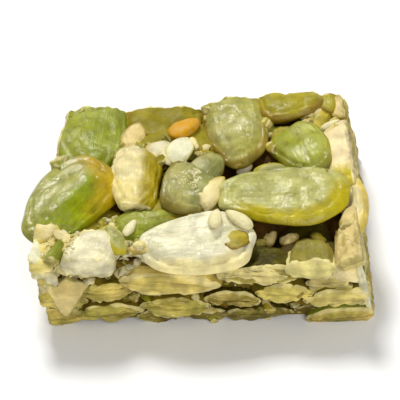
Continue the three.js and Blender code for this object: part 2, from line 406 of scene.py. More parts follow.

# %% [markdown]
# ## The crowd on the top
# These kernels are seen one by one, so each is listed with its place, its name and the look that its skin
# has: sage and leaf are common greens, moss is deep and shiny, olive and khaki are toasted, and the pale
# ones have lost their skin. Some are snapped by flat breaks, at a heading and a distance in the kernel.
# Scraps of broken kernel that stand out are listed the same way.

# %% Kernels on the top
TOP_KERNELS = [
    Kernel((9.6, -4.2, 10.6), 181, 1, -7, 15.7, 8.4, 2.7, "sage", "right_big"),
    Kernel((-14.8, -3.9, 10.2), 235, -6, -12, 13.8, 8.6, 2.9, "moss", "left_big", whole=True, crease=0.7),
    Kernel((-0.1, -11.3, 9.9), 184, 0, -20, 13.0, 7.2, 2.8, "chalk", "front_pale", whole=True, split=0.8,
           rough=0.8, breaks=((10, 5.9),)),
    Kernel((-12.8, 9.6, 9.2), 86, -3, 4, 16.0, 8.4, 2.6, "leaf", "back_left", crease=0.15),
    Kernel((4.3, 9.0, 9.4), 277, -2, 5, 13.2, 7.4, 2.8, "dusty", "back_middle", crease=0.1),
    Kernel((-7.2, -0.7, 10.1), 272, 4, -8, 12.4, 6.2, 2.6, "honey", "split", rough=0.9,
           breaks=((150, 5.0), (0, 4.3, -25))),
    Kernel((-0.9, -2.0, 10), 98, -4, 6, 10.2, 7.2, 2.8, "slate", "centre", crease=0.2, rough=1.5),
    Kernel((12.2, 4.6, 9.8), 290, 6, 10, 10.2, 6.8, 2.6, "meadow", "right_upper", crease=0.2),
    Kernel((11.0, 12.9, 10.1), 8, 2, -8, 8.8, 7.2, 2.6, "khaki", "back_right"),
    Kernel((-4.5, 11.6, 8.5), 186, 0, -3, 10.2, 8.6, 2.6, "olive", "back_low"),
    Kernel((16.6, 3.6, 9.9), 92, 3, -14, 11.0, 6.4, 2.6, "peach", "right_pale", split=0.8, rough=0.5),
    Kernel((-11.7, -12.6, 9.4), 72, 8, 10, 8.8, 6.4, 2.8, "cream", "front_left_block", split=0.9,
           rough=0.6, breaks=((95, 2.6), (-85, 2.4), (8, 3.2))),
    Kernel((12.8, -12.6, 8), 84, -6, 0, 8.4, 5.8, 2.8, "drab", "front_right_block", flesh=(250, 236, 160),
           breaks=((90, 2.4), (-90, 2.4))),
    Kernel((17.3, -10.6, 9.0), 88, 0, -24, 11.6, 4.0, 2.6, "tan", "right_strip", split=0.7),
    Kernel((-5.2, -8.0, 9), 12, -6, 10, 9.4, 6.2, 2.6, "leaf", "front_low"),
    Kernel((-16.7, -11.6, 9.6), 28, 10, 0, 7.2, 5.2, 2.6, "tan", "corner_small", flesh=(246, 226, 142),
           split=0.4),
    Kernel((7.4, -12.6, 7.2), 176, 0, 4, 10.4, 6.4, 2.6, "shaded", "front_deep"),
    Kernel((16.0, 10.8, 9.2), 62, 0, 18, 9.2, 5.6, 2.6, "gold", "corner_back", split=0.6),
    Kernel((17.5, -4.2, 8.4), 90, 0, -35, 10.0, 4.4, 2.4, "butter", "right_bulge", whole=True),
]
for kernel in TOP_KERNELS:
    kernel.flat = FLAT
SCRAPS = [
    Kernel((-7.8, 7.6, 9.8), 75, 14, 20, 4.4, 3.0, 0.7, "tan", "flake", rough=2.4),
    Kernel((-2.2, 4.7, 10.2), 62, 4, 14, 4.4, 3.0, 0.8, "pearl", "white_flake", rough=2.4),
    Kernel((-4.5, 5.0, 9.9), 20, 4, 16, 3.8, 2.6, 0.7, "cream", "white_flake_two", rough=2.6),
    Kernel((-3.7, 3.8, 9.9), 130, 8, 0, 3.0, 2.0, 0.8, "cream", "white_flake_three", breaks=((0, 0.8, 30),)),
    Kernel((1.3, -4.5, 11.0), 60, 4, 16, 6.8, 2.7, 1.2, "butter", "pale_strip", rough=2.0,
           breaks=((150, 1.1, 20),)),
    Kernel((-9.1, -10.4, 10.0), 118, 10, 10, 4.6, 2.4, 1.6, "sage", "green_wedge",
           breaks=((60, 1.0), (-70, 1.0))),
    Kernel((-15.7, -12.6, 10.1), 70, 4, 8, 4.8, 1.7, 1.6, "leaf", "green_strip"),
    Kernel((4.6, -11.3, 10.6), 10, 0, 14, 2.9, 2.4, 0.6, "gold", "brown_scrap", rough=2.4),
    Kernel((15.6, 12.4, 10.5), 80, 6, 14, 3.4, 2.6, 1.3, "khaki", "corner_scrap", breaks=((30, 1.0, 30),)),
    Kernel((16.6, 12.0, 10.2), 100, 4, 0, 4.6, 2.2, 1.2, "tan", "corner_rim", rough=1.6,
           breaks=((10, 1.6, 10),)),
    Kernel((13.4, 11.2, 10.2), 20, 6, 14, 3.4, 2.4, 1.4, "butter", "corner_bit",
           breaks=((30, 1.0), (-100, 0.9))),
    Kernel((16.4, 7.6, 10.0), 96, 4, 10, 5.0, 2.0, 1.4, "gold", "edge_scrap", breaks=((20, 1.8),)),
    Kernel((17.3, -7.0, 9.6), 70, 0, -14, 4.2, 2.2, 1.6, "tan", "right_scrap", breaks=((200, 1.4),)),
    Kernel((1.0, 1.6, 9.9), 55, 0, 14, 5.4, 4.0, 2.0, "slate", "centre_lobe", rough=1.5),
    Kernel((5.3, 2.6, 8.6), 40, 10, 20, 2.2, 1.4, 1.0, "cream", "hollow_scrap", breaks=((60, 0.5),)),
    Kernel((8.4, 1.4, 9.4), 10, 0, 16, 4.2, 2.0, 1.2, "sage", "dusty_scrap", breaks=((-60, 0.8),)),
    Kernel((10.4, -8.8, 8.0), 30, 8, 0, 2.4, 1.6, 1.1, "tan", "deep_scrap", breaks=((80, 0.5),)),
    Kernel((13.6, -8.9, 8.0), 120, 8, 10, 2.6, 1.6, 1.1, "gold", "deep_scrap_two", breaks=((-80, 0.5),)),
    Kernel((8.2, -7.6, 7.2), 60, 20, 10, 2.2, 1.5, 0.9, "tan", "deep_scrap_three", breaks=((40, 0.5, 30),)),
    Kernel((9.6, -8.4, 5.8), 150, 10, 10, 1.8, 1.3, 0.9, "cream", "deep_scrap_four",
           breaks=((90, 0.4, -30),)),
    Kernel((7.0, -9.0, 7.7), 20, 0, 20, 2.0, 1.2, 0.8, "gold", "deep_scrap_five", breaks=((-60, 0.4, 20),)),
    Kernel((-10.0, -8.6, 9.4), 40, 0, 10, 3.8, 2.0, 1.4, "sage", "left_gap_scrap", breaks=((150, 1.0),)),
    Kernel((-17.4, 2.4, 8.4), 70, -10, 10, 4.6, 2.8, 1.6, "sage", "left_ledge_scrap", breaks=((90, 0.9),)),
    Kernel((-14.8, -13.7, 4.6), 0, 0, 78, 6.6, 7.0, 1.4, "tan", "left_facet", whole=True,
           breaks=((70, 2.2), (115, 2.0), (205, 1.3), (-35, 1.2))),
    # corner_crumb, corner_flake_three, front_chip and corner_post take the palest looks, partly as painted
    # light.
    Kernel((-17.4, -12.9, 8.4), 40, 20, 30, 3.0, 2.2, 1.5, "pearl", "corner_crumb", breaks=((40, 0.9),)),
    Kernel((-17.2, -9.2, 10.4), 10, 6, 20, 3.6, 2.4, 0.8, "butter", "corner_flake", rough=2.0,
           breaks=((80, 0.9, 30),)),
    Kernel((-15.0, -10.0, 10.5), 150, 10, 10, 2.6, 1.8, 0.7, "butter", "corner_flake_two", rough=2.0),
    Kernel((-18.0, -11.8, 9.9), 95, 0, 20, 4.2, 2.2, 0.9, "pearl", "corner_flake_three", rough=2.0,
           breaks=((0, 1.4, 30),)),
    Kernel((-16.4, -13.5, 7.4), 110, 30, 40, 2.6, 2.0, 1.4, "cream", "corner_crumb_two",
           breaks=((-60, 0.7),)),
    Kernel((-16.9, -13.2, 6.2), 70, 40, 20, 2.8, 1.9, 1.4, "butter", "corner_crumb_three",
           breaks=((120, 0.8),)),
    Kernel((16.5, -13.5, 7.3), 10, 0, 76, 3.4, 2.4, 1.4, "peach", "front_chip",
           breaks=((180, 1.3), (20, 1.4))),
    Kernel((18.6, -13.4, 5.4), 180, 80, 0, 9.0, 1.5, 1.2, "pearl", "corner_post",
           breaks=((0, 4.0), (180, 4.2))),
    Kernel((18.0, -8.2, 9.2), 92, -2, 0, 9.6, 1.5, 1.3, "cream", "right_rim"),
    Kernel((18.2, -0.6, 8.4), 86, 4, 0, 8.4, 1.6, 1.4, "butter", "right_rim_back"),
]
print(len(TOP_KERNELS), "kernels and", len(SCRAPS), "scraps on the top")

# %% [markdown]
# ## The front cut
# The front is the cut that is seen best, so its kernels are listed one by one too. Each lies flat just
# behind the knife, which slices it lengthwise, and each has its own colour of flesh. A chip is how far behind
# the cut it broke off.

# %% Kernels sliced by the front cut
FRONT_LIE = {"y": -12.8, "width": 7.2}
FRONT_ROUGH = 1.6


def front_kernel(x, z, heading, pitch, length, thick, look, name, flesh, chip, flat=LENS):
    """A kernel that lies flat behind the front cut, which slices it lengthwise."""
    place, width = (x, FRONT_LIE["y"], z), FRONT_LIE["width"]
    lie = (place, heading, pitch, 0, length, width, thick)
    return Kernel(*lie, look, name, flesh=flesh, chip=chip, flat=flat, rough=FRONT_ROUGH)


FRONT_KERNELS = [
    front_kernel(-3.2, 6.4, 2, -3, 11.8, 3.1, "tan", "front_slab", (242, 218, 130), 0.0, FLAT),
    front_kernel(6.2, 7.3, 176, 2, 9.0, 2.5, "shaded", "front_pale_slice", (252, 234, 164), 0.1, FLAT),
    front_kernel(-10.2, 5.1, 6, 3, 7.0, 3.0, "bark", "front_left_lens", (234, 210, 118), 0.25),
    front_kernel(-2.8, 2.7, 183, 0, 8.6, 3.0, "bark", "front_middle_lens", (214, 198, 104), 0.1),
    front_kernel(3.9, 3.4, 2, -4, 6.6, 2.5, "shaded", "front_brown_lens", (186, 166, 90), 0.35),
    front_kernel(9.5, 4.5, 178, 1, 7.4, 2.8, "bark", "front_right_lens", (240, 220, 126), 0.05),
    front_kernel(15.6, 3.6, 4, 2, 7.6, 2.6, "bark", "front_right_slab", (244, 224, 140), 0.0, FLAT),
    front_kernel(-10.6, 1.8, 181, -2, 8.2, 2.6, "bark", "front_left_low", (206, 188, 98), 0.2),
    # front_low_sliver, front_low_lens, front_low_right and front_low_chip have dark flesh: painted shade low
    # down.
    front_kernel(-4.6, 0.9, 3, 0, 5.4, 1.7, "shaded", "front_low_sliver", (120, 104, 46), 0.5),
    front_kernel(6.4, 1.0, 180, -2, 8.8, 2.1, "shaded", "front_low_lens", (134, 120, 54), 0.45),
    front_kernel(14.6, 0.9, 2, 1, 7.8, 1.7, "shaded", "front_low_right", (112, 96, 42), 0.9),
    front_kernel(-16.2, 0.9, 178, 0, 5.6, 1.9, "bark", "front_low_left", (196, 174, 90), 0.3),
    front_kernel(14.4, 5.9, 184, 0, 5.0, 1.7, "shaded", "front_small_slice", (238, 216, 150), 0.3, FLAT),
    front_kernel(1.2, 0.8, 5, 0, 5.2, 1.5, "shaded", "front_low_chip", (110, 94, 40), 0.7),
]
print(len(FRONT_KERNELS), "kernels sliced by the front cut")

# %% [markdown]
# ## The form of one kernel
# A shelled pumpkin kernel is a flat drop: pointed at one end, thin at its margin, with a shallow groove
# just inside the margin, soft dents and lengthwise wrinkles. It could be sculpted, but all of it follows
# from where a point lies on a ball, so a ball with its poles at the kernel's ends is pushed into shape
# point by point.

# %% Kernel form
TIP_TAPER = 0.2
EDGE = 0.675
BLUNT = 2.4
POINT = 0.12
GROOVE = {"depth": 0.34, "place": 0.82, "width": 0.05}
CREASE = {"width": 0.5, "off": 0.1}
# waves are counted along a kernel and across it, and a shift keeps each pattern apart from the others
DENT = {"waves": (2.1, 2.1), "shift": 0, "height": 0.42}
WRINKLE = {"waves": (2.2, 8.0), "shift": 9, "height": 0.18}
WOBBLE = {"waves": (1.6, 1.6), "shift": 20, "share": 0.15}
RAGGED = {"waves": (4.0, 4.0), "shift": 30, "height": 0.22}
FOLD = {"waves": (1.3, 1.3), "shift": 40, "depth": 0.34, "width": 0.08}
BEND = {"height": 0.35, "level": 0.35}


def bell(value, middle, width):
    return math.exp(-(((value - middle) / width) ** 2))


def blunt(along, across):
    """How far an oval outline is pushed out to be blunter."""
    out = math.hypot(along, across)
    return out / (abs(along) ** BLUNT + abs(across) ** BLUNT) ** (1 / BLUNT) if out else 1.0


def ripple(pattern, along, across, salt, up=0.0):
    """Smooth noise over a kernel, from about -1 to 1."""
    waves_along, waves_across = pattern["waves"]
    return noise.noise((waves_along * along, waves_across * across, salt + pattern["shift"] + up))


def relief(along, across, up, kernel, salt):
    """Millimetres that the skin stands off the kernel's plain form."""
    groove = -GROOVE["depth"] * bell(math.hypot(along, across), GROOVE["place"], GROOVE["width"])
    crest = max(0.0, 1 - abs(across - CREASE["off"]) / CREASE["width"])
    crease = kernel.crease * crest * (1 - along**2)
    dent = DENT["height"] * ripple(DENT, along, across, salt, up)
    wrinkle = WRINKLE["height"] * ripple(WRINKLE, along, across, salt, up)
    wrinkle -= FOLD["depth"] * max(0.0, 1 - abs(ripple(FOLD, along, across, salt, up)) / FOLD["width"])
    if kernel.split < 1 and up > 0:
        dent -= RAGGED["height"] * abs(ripple(RAGGED, along, across, salt))
    return (groove + crease + (dent + wrinkle) * kernel.rough) * min(1.0, kernel.thick / KERNEL["thick"])


def kernel_form(unit, kernel, salt, bend):
    """A point of a unit ball moved to the kernel's skin, x along it and z through it."""
    along, across, up = unit
    out = min(1.0, math.hypot(along, across))
    crown = max(0.0, 1 - out**kernel.flat) ** EDGE
    plain = kernel.thick / 2 * (kernel.split if up > 0 else 1)
    height = crown * (plain + relief(along, across, up, kernel, salt))
    spread = blunt(along, across) * (1 + WOBBLE["share"] * ripple(WOBBLE, along, across, salt))
    point = 1 - POINT * max(0.0, along) ** 3
    return Vector((
        along * spread * kernel.length / 2,
        across * spread * kernel.width / 2 * (1 - TIP_TAPER * along) * point,
        math.copysign(height, up) + bend * (along**2 - BEND["level"]),
    ))


print("groove sits at", GROOVE["place"], "of the way out")

# %% [markdown]
# ## Looks of the kernels
# Skin colours are named as the eye sees them. Every kernel carries the colours of its right half, its left
# half, its margin and its flesh as point attributes, so one material can paint them all. Each colour's
# alpha holds a number too: the share of skin that has flaked off, a number that sets kernels apart, the
# gloss, and where the margin begins. A margin may lie on one side of a kernel only, and then the look says
# which way. Two looks are painted shade rather than skin colours: a near-black one for kernels that lie in
# deep shadow, and a dark brown one for skins seen only in the shaded gaps by the cuts.

# %% Looks
@dataclass
class Look:
    right: tuple
    left: tuple
    margin: tuple
    flesh: tuple
    peel: float = 0.0  # share of the skin that has flaked off
    gloss: float = 0.4  # of boiled sugar on it
    inner: float = 0.76  # where its margin begins, as a share of the way out
    toward: tuple = ()  # a heading in the kernel, and how far that way its margin begins and is full

    def margin_way(self):
        """A plane over the kernel that rises from 0 to 1 where the margin begins and is full."""
        if not self.toward:
            return Vector((0, 0, 1))
        heading, start, full = self.toward
        turn = math.radians(heading)
        return Vector((math.cos(turn), math.sin(turn), -start)) / (full - start)


TAN = (196, 178, 104)
LOOKS = {
    "sage": Look((186, 184, 108), (194, 192, 122), (196, 180, 12), TAN, 0.0, 0.7, 0.6, (122, -0.1, 0.45)),
    # moss's greyer right half faces the key lamp on left_big, and its paleness is partly painted light.
    "moss": Look((166, 166, 84), (154, 168, 6), (192, 160, 10), TAN, 0.0, 1.0, 0.42, (155, 0.0, 0.85)),
    "leaf": Look((143, 152, 38), (158, 163, 56), (140, 146, 20), (214, 202, 132), 0.3, 0.5),
    "meadow": Look((159, 163, 46), (175, 178, 70), (156, 154, 30), (236, 224, 160), 0.45, 0.9),
    "dusty": Look((178, 173, 100), (172, 169, 84), (150, 130, 40), TAN, 0.3, 0.8),
    "slate": Look((154, 156, 90), (178, 173, 108), (136, 122, 44), TAN, 0.45, 1.0),
    "olive": Look((152, 139, 26), (148, 135, 24), (152, 120, 18), TAN, 0.0, 0.15),
    "drab": Look((154, 143, 66), (148, 137, 58), (152, 120, 30), TAN, 0.0, 0.15),
    "khaki": Look((171, 158, 36), (183, 169, 56), (154, 126, 36), (222, 200, 120), 0.4, 0.45),
    # near-black skin: painted shade for kernels that lie in deep shadow, as under the big kernels
    "shaded": Look((74, 66, 6), (66, 56, 6), (70, 50, 8), TAN, 0.0, 0.1),
    # dark brown skin: painted shade for skins seen only in the shaded gaps by the cuts
    "bark": Look((124, 108, 26), (116, 98, 22), (116, 88, 22), TAN, 0.0, 0.1),
    "lime": Look((176, 178, 22), (190, 188, 70), (192, 176, 40), (222, 214, 130), 0.5, 0.6),
    "gold": Look((178, 158, 44), (198, 178, 66), (152, 122, 24), (214, 194, 96), 0.4, 0.4),
    "tan": Look((206, 182, 106), (216, 194, 124), (180, 158, 76), (236, 214, 152), 0.8, 0.3),
    "honey": Look((228, 208, 110), (236, 218, 136), (172, 152, 14), (237, 223, 172), 1.15, 0.5, 0.02,
                  (85, -0.06, 0.42)),
    "peach": Look((232, 212, 140), (238, 220, 160), (206, 190, 60), (248, 228, 184), 1.15, 0.3, 0.3,
                  (180, 0.3, 0.7)),
    "pearl": Look((226, 224, 166), (232, 230, 186), (234, 226, 160), (250, 246, 220), 1.15, 0.5),
    "butter": Look((228, 208, 110), (236, 218, 136), (222, 198, 104), (247, 231, 178), 1.15, 0.3),
    "cream": Look((222, 212, 140), (228, 220, 164), (230, 212, 144), (243, 235, 205), 1.15, 0.3),
    "chalk": Look((206, 204, 130), (228, 220, 164), (254, 238, 178), (244, 238, 212), 1.0, 0.5, 0.5,
                  (95, 0.1, 0.8)),
}
# Side and inner kernels often wear the two painted-shade looks, as their skins show only in shaded gaps.
COMMON_LOOKS = ("olive", "bark", "shaded", "leaf", "bark", "shaded", "dusty")
INNER_SHADE_LOOKS = ("olive", "shaded", "shaded")
COLOUR_LAYERS = ("right_tone", "left_tone", "margin_tone", "flesh_tone")
FLESH_TONES = ((222, 202, 110), (206, 186, 98), (180, 162, 78), (236, 216, 134), (214, 188, 106))
PALE_TONES = ((250, 234, 178), (242, 222, 156), (252, 240, 200), (228, 206, 140))
ALBEDO = (0.87, 0.86, 0.75)  # of each colour that the eye names, as this light and the gloss brighten it


def paint(colour, alpha=1.0):
    return (*(value * share for value, share in zip(linear(colour), ALBEDO)), alpha)


# Right-cut slices get pale flesh, partly painted light on that face; the lowest keep darker, painted shade.
PALE_FROM = 14  # slices further right than this are pale, but for the lowest
for number, kernel in enumerate(side_kernels + inner_kernels):
    kernel.name = f"layer {number}"
    chance = random.Random(kernel.name)
    kernel.look = chance.choice(COMMON_LOOKS if number < len(side_kernels) else INNER_SHADE_LOOKS)
    on_right = number < len(side_kernels) and kernel.at[0] > PALE_FROM and kernel.at[2] > LAYER_PITCH
    kernel.flesh = chance.choice(PALE_TONES if on_right else FLESH_TONES)
print("looks:", ", ".join(LOOKS))

# %% [markdown]
# ## Slicing
# The knife is bisect_plane, which clears what lies beyond a cut, and holes_fill closes the opening with one
# face. That face becomes the second material. Sliced flesh isn't a flat plate: it swells a little past the
# skin, so the face gets a sloping rim, is divided, made fuller away from its rim and roughened. Breaks are
# made the same way.

# %% Slicing
FLESH_SLOT = 1
CUT_TILT = 3  # degrees, either way
CUT_NEAR = 1e-6
CUT_ROUGH = {"waves": 1.6, "height": 0.22}
RIM = {"width": 0.08, "rise": 0.06}  # of the kernel's thickness
PILLOW = {"reach": 0.4, "height": 0.12}
CUT_PARTS = 3  # new points on each edge inside a cut


def slice_off(bm, point, facing):
    """Clears what lies beyond a plane and closes the cut."""
    plane = {"plane_co": point, "plane_no": facing, "dist": CUT_NEAR}
    cut = bmesh.ops.bisect_plane(bm, geom=bm.verts[:] + bm.edges[:] + bm.faces[:], clear_outer=True, **plane)
    edges = [part for part in cut["geom_cut"] if isinstance(part, bmesh.types.BMEdge)]
    open_edges = [edge for edge in edges if edge.is_valid and edge.is_boundary]
    if open_edges:
        for face in bmesh.ops.holes_fill(bm, edges=open_edges, sides=0)["faces"]:
            face.material_index = FLESH_SLOT


def tilted(facing, chance):
    turn = Euler([math.radians(chance.uniform(-CUT_TILT, CUT_TILT)) for _ in range(3)])
    return turn.to_matrix() @ facing


def break_off(bm, kernel):
    """Snaps a kernel wherever it is marked as broken."""
    turn = kernel.matrix().to_3x3()
    for heading, distance, *slant in kernel.breaks:
        way = turn @ direction(heading + 90, *slant or (0,))
        slice_off(bm, Vector(kernel.at) + way * distance, way)


def knife_off(bm, kernel, shift, chance):
    """Slices a kernel by every cut that crosses it, each turned a little about the kernel's own slice."""
    for side in CUTS:
        point, facing = knife(side, kernel.chip + shift)
        beyond = (Vector(kernel.at) - point).dot(facing)
        slice_off(bm, Vector(kernel.at) - facing * beyond, tilted(facing, chance))


def round_rims(bm, faces, thick):
    """Gives the cut faces a sloping rim, as a slice that has swollen a little past the skin."""
    width, rise = RIM["width"] * thick, RIM["rise"] * thick
    rims = bmesh.ops.inset_region(bm, faces=faces, thickness=width, depth=rise, use_even_offset=True)
    for face in rims["faces"]:
        face.material_index = FLESH_SLOT


def divide_cuts(bm, faces):
    """Divides the cut faces inside their rims. Edges are taken in order, so that every run gives the same."""
    flesh = bmesh.ops.triangulate(bm, faces=faces)["faces"]
    chosen = set(flesh)
    edges = [edge for face in flesh for edge in face.edges if chosen.issuperset(edge.link_faces)]
    bmesh.ops.subdivide_edges(bm, edges=list(dict.fromkeys(edges)), cuts=CUT_PARTS)
    bmesh.ops.triangulate(bm, faces=[face for face in bm.faces if face.material_index == FLESH_SLOT])


def tree_of(verts):
    tree = KDTree(len(verts))
    for number, vert in enumerate(verts):
        tree.insert(vert.co, number)
    tree.balance()
    return tree


def swell_cuts(bm, thick, salt):
    """Makes the cut faces fuller away from their rims, and breaks their surface up."""
    inner = [vert for vert in bm.verts if all(face.material_index == FLESH_SLOT for face in vert.link_faces)]
    chosen = set(inner)
    rim = tree_of([vert for vert in bm.verts if vert not in chosen])
    for vert in inner:
        share = min(1.0, rim.find(vert.co)[2] / (PILLOW["reach"] * thick))
        swell = PILLOW["height"] * thick * (1 - (1 - share) ** 2)
        rough = CUT_ROUGH["height"] * noise.noise(vert.co * CUT_ROUGH["waves"] + Vector((salt, 0, 0)))
        vert.co += vert.normal * (swell + rough)


def finish_cuts(bm, thick, salt):
    """Rounds, divides and roughens every cut face."""
    flesh = [face for face in bm.faces if face.material_index == FLESH_SLOT]
    if not flesh:
        return
    round_rims(bm, flesh, thick)
    divide_cuts(bm, flesh)
    bm.normal_update()
    swell_cuts(bm, thick, salt)


print("cuts are roughened by up to", CUT_ROUGH["height"], "mm")

# %% [markdown]
# ## Growing and joining
# Each kernel is grown in a small bmesh of its own, because the knife must not touch its neighbours. Then it
# is marked with its colours, its cut faces keep a sharp edge to the skin, and it is joined to its piece.
# Kernels that overlap keep their own closed skins, as the real ones do.

# %% Growing a kernel
SALT = (0, 50)
STEP = {"cut": (0.015, 12), "base": (0.004, 7)}  # how far apart neighbours' flat faces lie, in so many steps


def colour_layers(bm):
    return [bm.verts.layers.float_color.new(name) for name in COLOUR_LAYERS]


def place_layers(bm):
    return [bm.verts.layers.float_vector.new(name) for name in ("seed", "margin_way")]


def mark_kernel(bm, kernel, salt):
    """Writes where each point lies in its kernel, and the kernel's colours."""
    seed_layer, way_layer = place_layers(bm)
    layers = colour_layers(bm)
    look = LOOKS[kernel.look]
    colours = (look.right, look.left, look.margin, kernel.flesh or look.flesh)
    numbers = (look.peel, salt, look.gloss, look.inner)
    tones = [paint(colour, number) for colour, number in zip(colours, numbers)]
    inverse = kernel.matrix().inverted()
    halves = Vector((kernel.length / 2, kernel.width / 2, kernel.thick / 2))
    for vert in bm.verts:
        local = inverse @ vert.co
        vert[seed_layer] = Vector(local[i] / halves[i] for i in range(3))
        vert[way_layer] = look.margin_way()
        for layer, tone in zip(layers, tones):
            vert[layer] = tone


def finish_shading(bm):
    for face in bm.faces:
        face.smooth = True
    for edge in bm.edges:
        edge.smooth = len({face.material_index for face in edge.link_faces}) < 2


def ball_line(bm, turn, along):
    """Points along a unit ball from pole to pole, turned about X."""
    line = []
    for number in range(1, along):
        angle = math.pi * number / along
        out = math.sin(angle)
        line.append(bm.verts.new((math.cos(angle), out * math.cos(turn), out * math.sin(turn))))
    return line


def lengthwise_ball(around, along):
    """A unit ball with its poles at the ends of X, built in a fixed order so that each run gives the same."""
    bm = bmesh.new()
    front, back = bm.verts.new((1, 0, 0)), bm.verts.new((-1, 0, 0))
    lines = [ball_line(bm, -math.tau * number / around, along) for number in range(around)]
    for this, after in zip(lines, lines[1:] + lines[:1]):
        bm.faces.new((front, after[0], this[0]))
        for near in range(along - 2):
            bm.faces.new((after[near], after[near + 1], this[near + 1], this[near]))
        bm.faces.new((back, this[-1], after[-1]))
    return bm


def step(kind, index):
    size, count = STEP[kind]
    return size * (index % count)


def grow_kernel(kernel, ball, index):
    """One kernel as a bmesh: grown, placed, snapped, sliced by the knife, and pressed flat below."""
    chance = random.Random(kernel.name)
    salt = chance.uniform(*SALT)
    bend = chance.uniform(-BEND["height"], BEND["height"])
    bm = lengthwise_ball(*ball)
    for vert in bm.verts:
        vert.co = kernel_form(vert.co, kernel, salt, bend)
    bmesh.ops.transform(bm, matrix=kernel.matrix(), verts=bm.verts)
    break_off(bm, kernel)
    if not kernel.whole:
        knife_off(bm, kernel, step("cut", index), chance)
    finish_cuts(bm, kernel.thick, salt)
    for vert in bm.verts:
        vert.co.z = max(vert.co.z, STEP["base"][0] + step("base", index))
    mark_kernel(bm, kernel, salt)
    finish_shading(bm)
    return bm


print("kernel layers:", ", ".join(COLOUR_LAYERS))

# %% Joining kernels into a piece
def joined(parts):
    """One bmesh of many. Its layers are made first, so that what each part holds in them is kept."""
    whole = bmesh.new()
    place_layers(whole)
    colour_layers(whole)
    for part in parts:
        if part.faces:
            mesh = bpy.data.meshes.new("part")
            part.to_mesh(mesh)
            whole.from_mesh(mesh)
            bpy.data.meshes.remove(mesh)
        part.free()
    return whole


def add_piece(name, bm, slot, *materials):
    """Scales a finished bmesh to metres and makes it a piece that rides on the tile."""
    bmesh.ops.scale(bm, vec=(MM, MM, MM), verts=bm.verts)
    mesh = bpy.data.meshes.new(name)
    bm.to_mesh(mesh)
    bm.free()
    piece = bpy.data.objects.new(name, mesh)
    bpy.context.scene.collection.objects.link(piece)
    for material in materials:
        mesh.materials.append(material)
    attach(piece, "root")
    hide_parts("brittle")
    triangles = sum(len(polygon.vertices) - 2 for polygon in mesh.polygons)
    print(name, triangles, "triangles")


PEELED = ("butter", "cream", "chalk", "tan", "honey", "peach", "pearl")
TOP_BALL = (64, 72)  # faces around a kernel, and along it
ROW_BALL = (40, 36)
SCRAP_BALL = (18, 14)


def grown(kernels, ball):
    return joined([grow_kernel(kernel, ball, index) for index, kernel in enumerate(kernels)])


top_bm = grown([kernel for kernel in TOP_KERNELS if kernel.look not in PEELED], TOP_BALL)
peeled_bm = grown([kernel for kernel in TOP_KERNELS if kernel.look in PEELED], TOP_BALL)
side_bm = grown(FRONT_KERNELS + side_kernels, ROW_BALL)
inner_bm = grown(inner_kernels, ROW_BALL)
print("points grown:", sum(len(bm.verts) for bm in (top_bm, peeled_bm, side_bm, inner_bm)))

# %% [markdown]
# ## The sugar mass
# Boiled sugar and ground kernel fill the gaps, shrunk back a little from the knife's cuts. It is a cube,
# finely divided and stretched between the four leaning cuts, with the same swells and hollows on top as the
# solid has, and crumbly relief. Its sides are paler than its top, because the knife smears ground kernel
# over them, and its top is dark partly as painted shade for the deep gaps between the kernels.

# %% Sugar mass
MASS_CUTS = 71
MASS_FLOOR = 0.06
CRUMBLE = ((0.9, 0.3), (2.4, 0.14))  # waves per millimetre, and height
# dark sugar, made darker still as painted shade for the deep gaps
SUGAR_TOP_AND_SHADE = (76, 50, 10)
SUGAR_SIDE = (146, 124, 46)
ON_SIDE = 0.99  # of the way out to the cube's side faces


def corner(first, second, height):
    """Where two cuts of the shrunk mass meet at a height."""
    rows = []
    for side in (first, second):
        out, _ = cut_directions(side)
        reach = CUTS[side]["reach"] - BINDER_INSET - height * math.tan(math.radians(CUTS[side]["lean"]))
        rows.append((out.x, out.y, reach))
    (x1, y1, reach1), (x2, y2, reach2) = rows
    spread = x1 * y2 - y1 * x2
    return Vector(((reach1 * y2 - y1 * reach2) / spread, (x1 * reach2 - reach1 * x2) / spread, height))


def mass_place(unit, height):
    """A point of a unit square, stretched between the four corners at a height."""
    across, deep = (unit.x + 1) / 2, (unit.y + 1) / 2
    front = corner("front", "left", height).lerp(corner("front", "right", height), across)
    back = corner("back", "left", height).lerp(corner("back", "right", height), across)
    return front.lerp(back, deep)


def grow_mass():
    bm = bmesh.new()
    bmesh.ops.create_cube(bm, size=2)
    bmesh.ops.subdivide_edges(bm, edges=bm.edges[:], cuts=MASS_CUTS, use_grid_fill=True)
    tone_layer = colour_layers(bm)[0]
    for vert in bm.verts:
        on_side = max(abs(vert.co.x), abs(vert.co.y)) > ON_SIDE
        vert[tone_layer] = paint(SUGAR_SIDE if on_side else SUGAR_TOP_AND_SHADE)
        share = (vert.co.z + 1) / 2
        spot = mass_place(vert.co, share * BINDER_HEIGHT)
        swell = math.sin(LUMP["along"] * spot.x + LUMP["skew"] * spot.y)
        swell += math.sin(LUMP["across"] * spot.y - LUMP["skew"] * spot.x)
        rise = LUMP["height"] * swell / 2 - hollow_depth(spot.x, spot.y)
        spot.z = MASS_FLOOR + share * (BINDER_HEIGHT - MASS_FLOOR + rise)
        vert.co = spot
    bm.normal_update()
    for vert in bm.verts:
        if vert.co.z > MASS_FLOOR * 2:
            crumble = sum(height * noise.noise(vert.co * waves) for waves, height in CRUMBLE)
            vert.co += vert.normal * crumble
    for face in bm.faces:
        face.smooth = True
    return bm


mass_bm = grow_mass()
print("sugar mass points:", len(mass_bm.verts))

# %% [markdown]
# ## Sesame
# Sesame is strewn over the hot tile. It rolls off the crowns of most kernels and stays in the gaps, lying
# along whatever it lands on. A ray dropped on the kernels and the sugar finds that surface. A grain itself
# is a small drop with soft dents, made from a ball as a kernel is.

